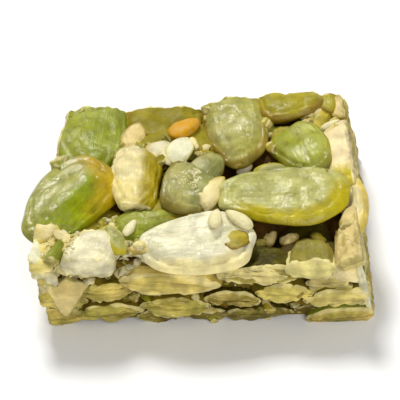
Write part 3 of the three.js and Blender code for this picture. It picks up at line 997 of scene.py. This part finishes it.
# %% Where sesame lands
SESAME = {"length": 3.3, "width": 1.55, "thick": 1.1}
TOASTED = (-1.8, 8.5)
TOP_SESAME = [  # place in plan, heading, size, and how broad it is for its size
    (TOASTED, 45, 1.35, 1.35),
    ((-2.5, 4.5), 80, 1.1, 1.2),
    ((-4.6, 5.1), 28, 0.9, 1.2),
    ((2.2, -9.0), 82, 0.95, 1.0),
    ((4.8, -8.9), 149, 1.1, 1.0),
    ((15.6, 8.4), 20, 0.8, 1.0),
    ((8.8, 1.9), 10, 0.75, 1.0),
    ((-7.4, -8.9), 60, 0.75, 1.0),
]
SKY = 60  # rays start from this far off
ground = [BVHTree.FromBMesh(bm) for bm in (top_bm, peeled_bm, side_bm, inner_bm, mass_bm)]


def first_hit(origin, heading):
    """The nearest surface along a ray, as a place and the way it faces."""
    hits = [tree.ray_cast(origin, heading) for tree in ground]
    hits = [hit for hit in hits if hit[0] is not None]
    if not hits:
        return None
    place, normal, _, _ = min(hits, key=lambda hit: hit[3])
    return place, normal if normal.dot(heading) < 0 else -normal


def landed(spot):
    return first_hit(Vector((*spot, SKY)), Vector((0, 0, -1)))


print(len(TOP_SESAME), "sesame grains")

# %% Sesame form
SESAME_BALL = (24, 18)
SESAME_TAPER = 0.24
SESAME_DENT = {"waves": 1.8, "share": 0.16}
SESAME_LIFT = 1 / 6  # of its thickness
PALE_SESAME = ((247, 240, 202), (245, 237, 194), (247, 241, 210), (242, 230, 182))
TOAST = (218, 157, 0)


def lying(place, normal, heading):
    lie = Vector((0, 0, 1)).rotation_difference(normal).to_matrix().to_4x4()
    return Matrix.Translation(place) @ lie @ Matrix.Rotation(math.radians(heading), 4, "Z")


def paint_all(bm, tone):
    layer = colour_layers(bm)[0]
    for vert in bm.verts:
        vert[layer] = tone


def sesame_form(unit, grow, broad, salt):
    along, across, up = unit
    dent = 1 + SESAME_DENT["share"] * noise.noise(Vector(unit) * SESAME_DENT["waves"] + Vector((salt, 0, 0)))
    return grow * Vector((
        along * SESAME["length"] / 2,
        across * broad * SESAME["width"] / 2 * (1 - SESAME_TAPER * along) * dent,
        up * SESAME["thick"] / 2 * (1 - SESAME_TAPER / 2 * along) * dent,
    ))


def grow_sesame(spot, heading, grow, broad):
    place, normal = landed(spot)
    chance = random.Random(f"sesame {spot}")
    salt = chance.uniform(*SALT)
    bm = lengthwise_ball(*SESAME_BALL)
    seed_layer, _ = place_layers(bm)
    for vert in bm.verts:
        vert[seed_layer] = vert.co.copy()
        vert.co = sesame_form(vert.co, grow, broad, salt)
    lifted = place + normal * grow * SESAME["thick"] * SESAME_LIFT
    bmesh.ops.transform(bm, matrix=lying(lifted, normal, heading), verts=bm.verts)
    paint_all(bm, paint(TOAST if spot == TOASTED else chance.choice(PALE_SESAME), salt))
    finish_shading(bm)
    return bm


sesame_bm = joined([grow_sesame(*facts) for facts in TOP_SESAME])
print("sesame points:", len(sesame_bm.verts))

# %% [markdown]
# ## Scraps
# Bits of broken kernel stick to the sugar in every gap, on the top and on the cut sides, and lie thickest
# at the front left corner, where some spill over the front cut. They are small kernels chopped by slanted
# planes, so they show skin and flesh like the others. They settle in gaps for the same reason as sesame
# does: they roll off the crowns.

# %% Places in the gaps
TOP_ACROSS = (-18, 18)
TOP_DEEP = (-13.5, 13.5)
SESAME_ROOM = 1.7  # scraps and crumbs keep this far from a grain of sesame
EDGE_ROOM = 0.6  # what lands on the top keeps this far from the cuts
RECESS = -0.6  # what sticks to a side sits at least this far behind the cut
STEEP = 0.3  # what lands on the top needs ground whose normal rises by more than this
CROWN = {"scrap": 0.95, "cluster": 0.9, "crumb": 0.96}  # share of a kernel that is too round to hold one
SIDE_ALONG = (-17, 17)
SIDE_HEIGHT = (0.6, 9.8)
SIDE_OFF = 20  # rays towards the sides start this far out


def on_crown(x, y, share):
    """Whether a place in plan is on the crown of a kernel on the top."""
    for kernel in TOP_KERNELS:
        turn = math.radians(kernel.heading)
        dx, dy = x - kernel.at[0], y - kernel.at[1]
        along = (dx * math.cos(turn) + dy * math.sin(turn)) / (kernel.length / 2)
        across = (dy * math.cos(turn) - dx * math.sin(turn)) / (kernel.width / 2)
        if math.hypot(along, across) < share:
            return True
    return False


def by_sesame(x, y):
    return any(math.dist((x, y), spot) < SESAME_ROOM * grow for spot, _, grow, _ in TOP_SESAME)


def inside(side, place):
    point, facing = knife(side)
    return (place - point).dot(facing) < -EDGE_ROOM


def inside_cuts(place):
    return all(inside(side, place) for side in CUTS)


def top_spots(count, name, share, across=TOP_ACROSS, deep=TOP_DEEP):
    """Places in the gaps on the top, with the way the surface faces there."""
    spots = []
    for number in range(count):
        chance = random.Random(f"{name} {number}")
        x, y = chance.uniform(*across), chance.uniform(*deep)
        hit = landed((x, y))
        open_gap = not on_crown(x, y, share) and not by_sesame(x, y) and not hollow_depth(x, y)
        if hit and open_gap and hit[1].z > STEEP and inside_cuts(hit[0]):
            spots.append(hit)
    return spots


def side_spots(count, name):
    """Places between the slices on the four sides."""
    spots = []
    sides = list(CUTS)
    for number in range(count):
        chance = random.Random(f"{name} {number}")
        side = sides[number % len(sides)]
        point, facing = knife(side)
        _, along = cut_directions(side)
        start = point + along * chance.uniform(*SIDE_ALONG) + facing * SIDE_OFF
        start.z = chance.uniform(*SIDE_HEIGHT)
        hit = first_hit(start, -facing)
        if hit and (hit[0] - point).dot(facing) < RECESS:
            spots.append(hit)
    return spots


print("scraps keep", EDGE_ROOM, "mm from the cuts")

# %% Scraps in the gaps
TOP_SCRAPS = 420
SIDE_SCRAPS = 420
SCRAP_LENGTH = (1.0, 3.0)
SCRAP_WIDTH = (0.45, 0.8)  # share of the length
SCRAP_THICK = (0.28, 0.5)
SCRAP_TILT = 30
SCRAP_BREAKS = {"planes": 3, "distance": (0.08, 0.3), "slant": (-45, 45)}  # distance as a share of the length
SCRAP_LOOKS = ("cream", "butter", "butter", "tan", "meadow", "lime", "leaf", "gold")
BACK_LOOKS = ("olive", "gold", "khaki", "leaf", "tan", "meadow", "butter")
CLUSTERS = {  # where small pale scraps lie thickest: how many are tried, and their places along X and Y
    "front left": (320, (-18.6, -12.5), (-13.6, -9.0)),
    "by the pale one": (120, (-10.5, -5.5), (-13.0, -7.0)),
    "back right": (30, (13.5, 17.5), (6.0, 13.2)),
}
CLUSTER_LENGTH = (0.7, 2.0)
CLUSTER_LOOKS = ("cream", "cream", "pearl", "butter", "lime")
SPILL = {"count": 90, "across": (-18.6, -11.5), "height": (6.2, 9.4), "length": (0.6, 1.7)}


def random_break(length, chance):
    distance = chance.uniform(*SCRAP_BREAKS["distance"])
    slant = chance.uniform(*SCRAP_BREAKS["slant"])
    return chance.uniform(*TURN), length * distance, slant


def scrap_at(place, name, lengths=SCRAP_LENGTH, looks=SCRAP_LOOKS):
    chance = random.Random(name)
    length = chance.uniform(*lengths)
    pitch = chance.uniform(-SCRAP_TILT, SCRAP_TILT)
    roll = chance.uniform(-SCRAP_TILT, SCRAP_TILT)
    width = length * chance.uniform(*SCRAP_WIDTH)
    thick = length * chance.uniform(*SCRAP_THICK)
    breaks = tuple(random_break(length, chance) for _ in range(SCRAP_BREAKS["planes"]))
    look = chance.choice(looks)
    lie = (tuple(place), chance.uniform(*TURN), pitch, roll)
    return Kernel(*lie, length, width, thick, look, name, breaks=breaks)


def scattered_scraps():
    spots = top_spots(TOP_SCRAPS, "top scrap", CROWN["scrap"]) + side_spots(SIDE_SCRAPS, "side scrap")
    scraps = []
    for number, (place, _) in enumerate(spots):
        looks = BACK_LOOKS if place.y > 0 else SCRAP_LOOKS
        scraps.append(scrap_at(place, f"scrap {number}", looks=looks))
    return scraps


def clustered_scraps():
    scraps = []
    for name, (count, across, deep) in CLUSTERS.items():
        for number, (place, _) in enumerate(top_spots(count, name, CROWN["cluster"], across, deep)):
            scraps.append(scrap_at(place, f"{name} {number}", CLUSTER_LENGTH, CLUSTER_LOOKS))
    return scraps


def spilled_scraps():
    """Pale bits that cling to the front cut by its left corner."""
    scraps = []
    for number in range(SPILL["count"]):
        chance = random.Random(f"spill {number}")
        start = Vector((chance.uniform(*SPILL["across"]), -SKY, chance.uniform(*SPILL["height"])))
        hit = first_hit(start, Vector((0, 1, 0)))
        if hit and inside("left", hit[0]):
            scraps.append(scrap_at(hit[0], f"spill {number}", SPILL["length"], CLUSTER_LOOKS))
    return scraps


scrap_bm = grown(SCRAPS + scattered_scraps() + clustered_scraps() + spilled_scraps(), SCRAP_BALL)
print("scrap points:", len(scrap_bm.verts))

# %% [markdown]
# ## Crumbs
# Finer still are the crumbs, which are only small dented balls. They lie in the same gaps, and as dust in
# two places where they stick to the kernels too: on the one in the centre, where the near-white grains are
# sugar and also painted highlights for its glints, and in the front left corner.

# %% Crumbs
TOP_CRUMBS = 900
SIDE_CRUMBS = 900
CRUMB_SIZE = (0.08, 0.3)
CRUMB_SHAPE = ((0.9, 2.2), (0.6, 1.2), (0.3, 0.7))
CRUMB_DENT = {"waves": 1.4, "share": 0.6}
CRUMB_LIFT = 0.4  # of its thickness
CRUMB_FLOOR = 0.03
CRUMB_SALT = (0, 90)
CRUMB_TONES = (
    (196, 186, 108), (184, 176, 92), (226, 214, 158), (164, 156, 66), (206, 192, 122), (172, 150, 74),
    (150, 144, 52),
)
DUST_SIZE = (0.06, 0.2)
# near-white sugar grains, which on the centre kernel also serve as painted glints
DUST_AND_GLINT_TONES = ((246, 240, 202), (240, 232, 184))
DUST = {  # how many are tried, and their places along X and Y
    "dust on the centre one": (80, (-2.2, 0.4), (-3.6, -0.6)),
    "dust in the corner": (120, (-18.5, -13.5), (-13.4, -9.0)),
}


def grow_crumb(place, normal, name, sizes=CRUMB_SIZE, tones=CRUMB_TONES):
    chance = random.Random(name)
    size = chance.uniform(*sizes)
    shape = Vector(chance.uniform(*span) for span in CRUMB_SHAPE) * size
    salt = Vector((chance.uniform(*CRUMB_SALT), 0, 0))
    bm = bmesh.new()
    bmesh.ops.create_icosphere(bm, subdivisions=1, radius=1)
    for vert in bm.verts:
        dent = 1 + CRUMB_DENT["share"] * noise.noise(vert.co * CRUMB_DENT["waves"] + salt)
        vert.co = Vector(vert.co[i] * shape[i] * dent for i in range(3))
    matrix = lying(place + normal * shape.z * CRUMB_LIFT, normal, chance.uniform(*TURN))
    bmesh.ops.transform(bm, matrix=matrix, verts=bm.verts)
    for vert in bm.verts:
        vert.co.z = max(vert.co.z, CRUMB_FLOOR)
    paint_all(bm, paint(chance.choice(tones)))
    finish_shading(bm)
    return bm


crumb_spots = top_spots(TOP_CRUMBS, "top crumb", CROWN["crumb"]) + side_spots(SIDE_CRUMBS, "side crumb")
crumbs = [grow_crumb(*spot, f"crumb {number}") for number, spot in enumerate(crumb_spots)]
for patch, (count, *area) in DUST.items():
    for number, spot in enumerate(top_spots(count, patch, 0, *area)):
        crumbs.append(grow_crumb(*spot, f"{patch} {number}", DUST_SIZE, DUST_AND_GLINT_TONES))
crumb_bm = joined(crumbs)
print("crumb points:", len(crumb_bm.verts))

# %% [markdown]
# ## Shared effects
# Where a point lies in its kernel decides much of its colour. One node group turns that into masks: the
# margin, the rim of a cut where the skin ends, the split between the two halves inside, the left half, and
# the underside. A second group gives the lengthwise streaks and the fine mottle that both skin and flesh
# have. A wash is a colour that is laid over another along one of these patterns, or along a noise of its
# own.

# %% Shared effects
VALUE, VECTOR = "NodeSocketFloat", "NodeSocketVector"
WAVER_SCALE = 420.0
MARGIN = {"width": 0.22, "waver": 0.3}  # of the way from a kernel's middle to its edge
MARGIN_SIDE = {"full": 0.95, "waver": 0.5}
ZONE_EDGES = {  # how far a zone's edge wavers, where the zone begins and where it is full
    "Rim": (0.1, 0.8, 0.97),
    "Split": (0.14, 0.12, 0.03),
    "Side": (1.2, -0.12, 0.3),
    # Under runs from partway up a kernel to its base: it carries syrup stain and painted shade.
    "Under": (0.5, 0.3, -0.4),
}
STREAK = {"stretch": (1.1, 5.5, 1.0), "grain": (2.2, 4.0, 0.6)}
MOTTLE = (1500.0, 3.0, 0.6)
MOTTLED = (0.3, 0.7)  # the span that mottles run through
CLOUDS = {"grain": (560.0, 2.0, 0.5), "span": (0.32, 0.68)}


def new_group(name, inputs, labels):
    """An empty node group, with the sockets that it reads and those that it fills."""
    group = bpy.data.node_groups.new(name, "ShaderNodeTree")
    for label, kind in inputs.items():
        group.interface.new_socket(label, in_out="INPUT", socket_type=kind)
    for label in labels:
        group.interface.new_socket(label, in_out="OUTPUT", socket_type=VALUE)
    return group, group.nodes.new("NodeGroupInput").outputs, group.nodes.new("NodeGroupOutput").inputs


def margin_zone(group, given, out, along, across, waver):
    """What lies further out than Inner, on the side that Way rises to."""
    outer = calc(group, "ADD", given["Inner"], MARGIN["width"])
    ring = ramp(group, calc(group, "MULTIPLY_ADD", waver, MARGIN["waver"], out), given["Inner"], outer)
    way_x, way_y, way_start = parts_of(group, given["Way"])
    rise = calc(group, "MULTIPLY_ADD", along, way_x, calc(group, "MULTIPLY_ADD", across, way_y, way_start))
    rise = calc(group, "MULTIPLY_ADD", waver, MARGIN_SIDE["waver"], rise)
    return calc(group, "MULTIPLY", ring, ramp(group, rise, 0.0, MARGIN_SIDE["full"]))


def zones_group():
    inputs = {"Seed": VECTOR, "Place": VECTOR, "Way": VECTOR, "Inner": VALUE}
    group, given, results = new_group("kernel_zones", inputs, ("Margin", *ZONE_EDGES))
    along, across, up = parts_of(group, given["Seed"])
    waver = calc(group, "SUBTRACT", grain(group, given["Place"], WAVER_SCALE), 0.5)
    wide = calc(group, "DIVIDE", across, calc(group, "MULTIPLY_ADD", along, -TIP_TAPER, 1.0))
    flat = calc(group, "ADD", calc(group, "POWER", along, 2.0), calc(group, "POWER", wide, 2.0))
    high = calc(group, "ABSOLUTE", up)
    skin = calc(group, "ADD", flat, calc(group, "POWER", high, 1 / EDGE))
    out = calc(group, "SQRT", flat)
    feed(group, results["Margin"], margin_zone(group, given, out, along, across, waver))
    for label, measure in {"Rim": skin, "Split": high, "Side": across, "Under": up}.items():
        share, begins, full = ZONE_EDGES[label]
        wavering = calc(group, "MULTIPLY_ADD", waver, share, measure)
        feed(group, results[label], ramp(group, wavering, begins, full))
    return group


def streaks_group():
    inputs = {"Seed": VECTOR, "Place": VECTOR, "Salt": VALUE}
    group, given, results = new_group("lengthwise_streaks", inputs, ("Streak", "Mottle"))
    offset = node(group, "ShaderNodeCombineXYZ", {2: given["Salt"]}).outputs[0]
    lengthwise = stretch(group, given["Seed"], STREAK["stretch"])
    spot = node(group, "ShaderNodeVectorMath", {0: lengthwise, 1: offset}, operation="ADD").outputs[0]
    feed(group, results["Streak"], grain(group, spot, *STREAK["grain"]))
    feed(group, results["Mottle"], grain(group, given["Place"], *MOTTLE))
    return group


ZONES = zones_group()
STREAKS = streaks_group()
print("groups:", ZONES.name, STREAKS.name)

# %% Using the effects
@dataclass
class Wash:
    """A colour, the span of a pattern along which it grows, and how much it covers at the most."""

    colour: object  # three numbers as the eye names them, or the point attribute that holds it
    span: tuple
    most: float
    grain: tuple = ()  # scale, detail and roughness of a noise of its own


def washed(tree, tone, wash, pattern=None, share=None):
    """Lays a wash over a tone, along a pattern or its own noise, and in a share if that is given."""
    if pattern is None:
        pattern = grain(tree, object_place(tree), *wash.grain)
    cover = ramp(tree, pattern, *wash.span, 0.0, wash.most)
    if share is not None:
        cover = calc(tree, "MULTIPLY", cover, share)
    colour = held(tree, wash.colour) if isinstance(wash.colour, str) else paint(wash.colour)
    return mix(tree, cover, tone, colour)


def use_group(tree, group, **inputs):
    return node(tree, "ShaderNodeGroup", inputs, node_tree=group).outputs


def kernel_marks(tree, place, fibre=(1, 1, 1)):
    """Both groups at work on a kernel: its zones, and its streaks and mottle."""
    seed, way = held(tree, "seed", "Vector"), held(tree, "margin_way", "Vector")
    salt, inner = held(tree, "left_tone", "Alpha"), held(tree, "flesh_tone", "Alpha")
    zones = use_group(tree, ZONES, Seed=seed, Place=place, Way=way, Inner=inner)
    marks = use_group(tree, STREAKS, Seed=stretch(tree, seed, fibre), Place=place, Salt=salt)
    return zones, marks


def brightness(tree, tone):
    return node(tree, "ShaderNodeRGBToBW", {0: tone}).outputs[0]


def clouded(tree, place, tone, least, most):
    """Darker and lighter clouds about two millimetres wide over a colour."""
    shade = ramp(tree, grain(tree, place, *CLOUDS["grain"]), *CLOUDS["span"], least, most)
    return node(tree, "ShaderNodeHueSaturation", {"Value": shade, "Color": tone}).outputs[0]


def set_surface(tree, shader, tone, rough, height, specular, bump, deep):
    """Gives a shader its colour, roughness and fine relief, and returns the relief's normal."""
    feed(tree, shader.inputs["Base Color"], tone)
    feed(tree, shader.inputs["Roughness"], rough)
    shader.inputs["Specular IOR Level"].default_value = specular
    inputs = {"Strength": bump, "Distance": deep * MM, "Height": height}
    normal = node(tree, "ShaderNodeBump", inputs).outputs["Normal"]
    feed(tree, shader.inputs["Normal"], normal)
    return normal


print("helpers for washes, clouds and surfaces ready")

# %% [markdown]
# ## Kernel skin
# The skin is a thin green membrane over cream flesh. It is paler where it has a dry bloom, deeper in
# patches, faintly streaked lengthwise, and has a margin of its own colour. It wears through on the peeled
# ones, and it darkens towards its underside: syrup stains it there, and the same darkening is painted shade
# between the kernels. Boiled sugar leaves a patchy gloss, which is the shader's coat.

# %% Kernel skin
BLOOM = Wash((206, 200, 134), (0.48, 0.68), 0.4, (300.0, 5.0, 0.6))
DEEP = (122, 118, 22)
DEEP_PATCHES = Wash(DEEP, (0.5, 0.68), 0.55, (700.0, 5.0, 0.7))
PALE_STREAKS = Wash((222, 214, 138), (0.58, 0.74), 0.3)
DEEP_STREAKS = Wash(DEEP, (0.42, 0.28), 0.16)
MARGIN_COVER = 0.95
DRY = (0.15, 0.36)  # brightness at which a skin starts to look dry, and is dry
FLESH_LINES = Wash("right_tone", (0.5, 0.3), 0.4)
FLESH_FILM = Wash("right_tone", (0.5, 0.68), 0.6, (230.0, 4.0, 0.6))
WORN = {"grain": (420.0, 5.0, 0.6), "from": 0.9, "margin": 0.12, "span": (0.28, 0.36)}
SYRUP_AND_SHADE = (96, 74, 4)
STAIN_AND_SHADE = (0.5, 1.0, 0.8, 0.06)  # skin as flaked as the first two numbers is darkened by the last two
SKIN_CLOUDS = (0.83, 1.12)
SKIN_ROUGH = (0.38, 0.62)
DARK_ROUGH = 0.35  # a dark skin is rougher than a dry one by this
SKIN_RELIEF = {"mottle": 0.65, "streak": 0.5}
SKIN_SURFACE = {"specular": 0.12, "bump": 0.6, "deep": 0.4}
COAT = {"scale": 260.0, "span": (0.36, 0.56), "rough": 0.12}


def skin_tone(tree, zones, marks, dry):
    """The green skin: two halves, dry bloom, deeper patches, faint streaks and the margin."""
    tone = mix(tree, zones["Side"], held(tree, "right_tone"), held(tree, "left_tone"))
    tone = washed(tree, tone, BLOOM, share=dry)
    tone = washed(tree, tone, DEEP_PATCHES)
    tone = washed(tree, tone, PALE_STREAKS, marks["Streak"], dry)
    tone = washed(tree, tone, DEEP_STREAKS, marks["Streak"])
    margin = calc(tree, "MULTIPLY", zones["Margin"], MARGIN_COVER)
    return mix(tree, margin, tone, held(tree, "margin_tone"))


def bare_tone(tree, zones, marks):
    """The flesh where the skin is gone, with lines and a film of skin left on it."""
    tone = washed(tree, held(tree, "flesh_tone"), FLESH_LINES, marks["Streak"])
    tone = washed(tree, tone, FLESH_FILM)
    return mix(tree, zones["Margin"], tone, held(tree, "margin_tone"))


def worn_away(tree, place, zones, peel):
    """Where the skin is gone: in patches, more of them the more has flaked off, and less at the margin."""
    worn = calc(tree, "ADD", grain(tree, place, *WORN["grain"]), calc(tree, "SUBTRACT", peel, WORN["from"]))
    worn = calc(tree, "SUBTRACT", worn, calc(tree, "MULTIPLY", zones["Margin"], WORN["margin"]))
    return ramp(tree, worn, *WORN["span"])


def add_coat(tree, shader, place, normal):
    gloss = held(tree, "margin_tone", "Alpha")
    coat = calc(tree, "MULTIPLY", ramp(tree, grain(tree, place, COAT["scale"]), *COAT["span"]), gloss)
    feed(tree, shader.inputs["Coat Weight"], coat)
    feed(tree, shader.inputs["Coat Normal"], normal)
    shader.inputs["Coat Roughness"].default_value = COAT["rough"]


def kernel_skin():
    material, tree, shader = new_material("kernel_skin")
    place = object_place(tree)
    zones, marks = kernel_marks(tree, place)
    peel = held(tree, "right_tone", "Alpha")
    dry = ramp(tree, brightness(tree, held(tree, "right_tone")), *DRY)
    skin, bare = skin_tone(tree, zones, marks, dry), bare_tone(tree, zones, marks)
    tone = mix(tree, worn_away(tree, place, zones, peel), skin, bare)
    # darker towards the base: syrup stain, and painted shade between kernels
    stain_and_shade_share = calc(tree, "MULTIPLY", zones["Under"], ramp(tree, peel, *STAIN_AND_SHADE))
    tone = clouded(tree, place, mix(tree, stain_and_shade_share, tone, paint(SYRUP_AND_SHADE)), *SKIN_CLOUDS)
    rougher = calc(tree, "MULTIPLY_ADD", dry, -DARK_ROUGH, DARK_ROUGH)
    rough = calc(tree, "ADD", ramp(tree, marks["Mottle"], *MOTTLED, *SKIN_ROUGH), rougher)
    streaks = calc(tree, "MULTIPLY", marks["Streak"], SKIN_RELIEF["streak"])
    height = calc(tree, "MULTIPLY_ADD", marks["Mottle"], SKIN_RELIEF["mottle"], streaks)
    normal = set_surface(tree, shader, tone, rough, height, **SKIN_SURFACE)
    add_coat(tree, shader, place, normal)
    return material


skin_finish = kernel_skin()
print("made", skin_finish.name)

# %% [markdown]
# ## Cut flesh
# Sliced through, a kernel is cream to tan and fibrous along its length. It has darker blotches and a
# greenish tinge, a dark line where its two halves meet, and a paler rim where the skin ends, which also
# serves as a painted highlight on the slice's rounded edge. Pale flesh shows less of all this than dark
# flesh does.

# %% Cut flesh
FIBRE = (126, 106, 20)
PITH = (250, 236, 176)
SEAM = {"colour": (104, 82, 8), "most": 0.45}
# the pale rim is partly a painted highlight on each slice's rounded edge
RIM_COVER = 0.6
FIBRE_STRETCH = (1.4, 0.5, 5.0)
BLOTCH = {"stretch": (0.6, 0.6, 1.5), "grain": (480.0, 5.0, 0.65)}
BLOTCHES = Wash(FIBRE, (0.54, 0.36), 0.75)
DARK_FIBRES = Wash(FIBRE, (0.47, 0.3), 0.55)
GREENISH = Wash((176, 168, 66), (0.42, 0.62), 0.75, (330.0,))
PALE_FIBRES = Wash(PITH, (0.54, 0.7), 0.5)
DARKEN = (0.4, 0.72, 1.0, 0.2)  # flesh as bright as the first two is darkened by the last two
FLESH_CLOUDS = (0.74, 1.24)
FLESH_ROUGH = (0.5, 0.75)
FLESH_MOTTLE = 0.35
FLESH_SURFACE = {"specular": 0.2, "bump": 0.7, "deep": 0.3}


def flesh_tone(tree, place, zones, marks):
    """The flesh's colour with blotches, fibres and seam, and a pale rim that is partly painted highlight."""
    tone = held(tree, "flesh_tone")
    darken = ramp(tree, brightness(tree, tone), *DARKEN)
    blotch = grain(tree, stretch(tree, place, BLOTCH["stretch"]), *BLOTCH["grain"])
    tone = washed(tree, tone, BLOTCHES, blotch, darken)
    tone = washed(tree, tone, DARK_FIBRES, marks["Streak"], darken)
    tone = washed(tree, tone, GREENISH, share=darken)
    tone = washed(tree, tone, PALE_FIBRES, marks["Streak"])
    seam = calc(tree, "MULTIPLY", calc(tree, "MULTIPLY", zones["Split"], SEAM["most"]), darken)
    tone = mix(tree, seam, tone, paint(SEAM["colour"]))
    return mix(tree, calc(tree, "MULTIPLY", zones["Rim"], RIM_COVER), tone, paint(PITH))


def cut_flesh():
    material, tree, shader = new_material("cut_flesh")
    place = object_place(tree)
    zones, marks = kernel_marks(tree, place, FIBRE_STRETCH)
    tone = clouded(tree, place, flesh_tone(tree, place, zones, marks), *FLESH_CLOUDS)
    rough = ramp(tree, marks["Mottle"], *MOTTLED, *FLESH_ROUGH)
    height = calc(tree, "MULTIPLY_ADD", marks["Mottle"], FLESH_MOTTLE, marks["Streak"])
    set_surface(tree, shader, tone, rough, height, **FLESH_SURFACE)
    return material


flesh_finish = cut_flesh()
print("made", flesh_finish.name)

# %% [markdown]
# ## Sesame, crumbs and sugar
# Sesame is smooth and cream, and browner at its pointed end. Crumbs take one of a few kernel colours. The
# sugar mass is dark olive, with darker clouds and specks of ground kernel in it. Each has a fine noise that
# sets its roughness and its relief.

# %% Sesame, crumbs and sugar
SESAME_TIP = Wash((206, 176, 106), (0.62, 0.98), 0.5)
SESAME_SPOTS = Wash((206, 190, 128), (0.6, 0.4), 0.25)
SESAME_FINE = {"scale": 1700.0, "rough": (0.5, 0.68)}
SESAME_SURFACE = {"specular": 0.2, "bump": 0.4, "deep": 0.15}
CRUMB_SPOTS = Wash((150, 140, 66), (0.55, 0.35), 0.4)
CRUMB_FINE = {"scale": 2200.0, "rough": (0.4, 0.7)}
CRUMB_SURFACE = {"specular": 0.2, "bump": 0.5, "deep": 0.12}
SUGAR_CLOUDS = Wash((54, 34, 4), (0.6, 0.35), 0.7, (620.0, 5.0, 0.6))
SUGAR_SPECKS = Wash((150, 134, 66), (0.62, 0.76), 0.4)
SUGAR_FINE = {"scale": 2000.0, "detail": 4.0, "soft": 0.6, "rough": (0.45, 0.8)}
SUGAR_SURFACE = {"specular": 0.1, "bump": 0.7, "deep": 0.3}


def sesame_coat():
    material, tree, shader = new_material("sesame_coat")
    fine = grain(tree, object_place(tree), SESAME_FINE["scale"])
    along, _, _ = parts_of(tree, held(tree, "seed", "Vector"))
    tone = washed(tree, held(tree, "right_tone"), SESAME_TIP, along)
    tone = washed(tree, tone, SESAME_SPOTS, fine)
    set_surface(tree, shader, tone, ramp(tree, fine, *MOTTLED, *SESAME_FINE["rough"]), fine, **SESAME_SURFACE)
    return material


def crumb_mix():
    material, tree, shader = new_material("crumb_mix")
    fine = grain(tree, object_place(tree), CRUMB_FINE["scale"])
    tone = washed(tree, held(tree, "right_tone"), CRUMB_SPOTS, fine)
    set_surface(tree, shader, tone, ramp(tree, fine, *MOTTLED, *CRUMB_FINE["rough"]), fine, **CRUMB_SURFACE)
    return material


def sugar_mass():
    material, tree, shader = new_material("sugar_mass")
    fine = grain(tree, object_place(tree), SUGAR_FINE["scale"], SUGAR_FINE["detail"], SUGAR_FINE["soft"])
    tone = washed(tree, held(tree, "right_tone"), SUGAR_CLOUDS)
    tone = washed(tree, tone, SUGAR_SPECKS, fine)
    set_surface(tree, shader, tone, ramp(tree, fine, *MOTTLED, *SUGAR_FINE["rough"]), fine, **SUGAR_SURFACE)
    return material


sesame_finish, crumb_finish, sugar_finish = sesame_coat(), crumb_mix(), sugar_mass()
print("made", sesame_finish.name, crumb_finish.name, sugar_finish.name)

# %% [markdown]
# ## The pieces
# Everything is grown, so each kind becomes one piece that rides on the tile and stands for its plain solid.

# %% Pieces
add_piece("kernels_top", top_bm, "kernel", skin_finish, flesh_finish)
add_piece("kernels_peeled", peeled_bm, "flesh", skin_finish, flesh_finish)
add_piece("kernels_sliced", side_bm, "flesh", skin_finish, flesh_finish)
add_piece("kernels_inner", inner_bm, "kernel", skin_finish, flesh_finish)
add_piece("sugar_mass", mass_bm, "sugar", sugar_finish)
add_piece("sesame", sesame_bm, "sesame", sesame_finish)
add_piece("scraps", scrap_bm, "flesh", skin_finish, flesh_finish)
add_piece("crumbs", crumb_bm, "flesh", crumb_finish)
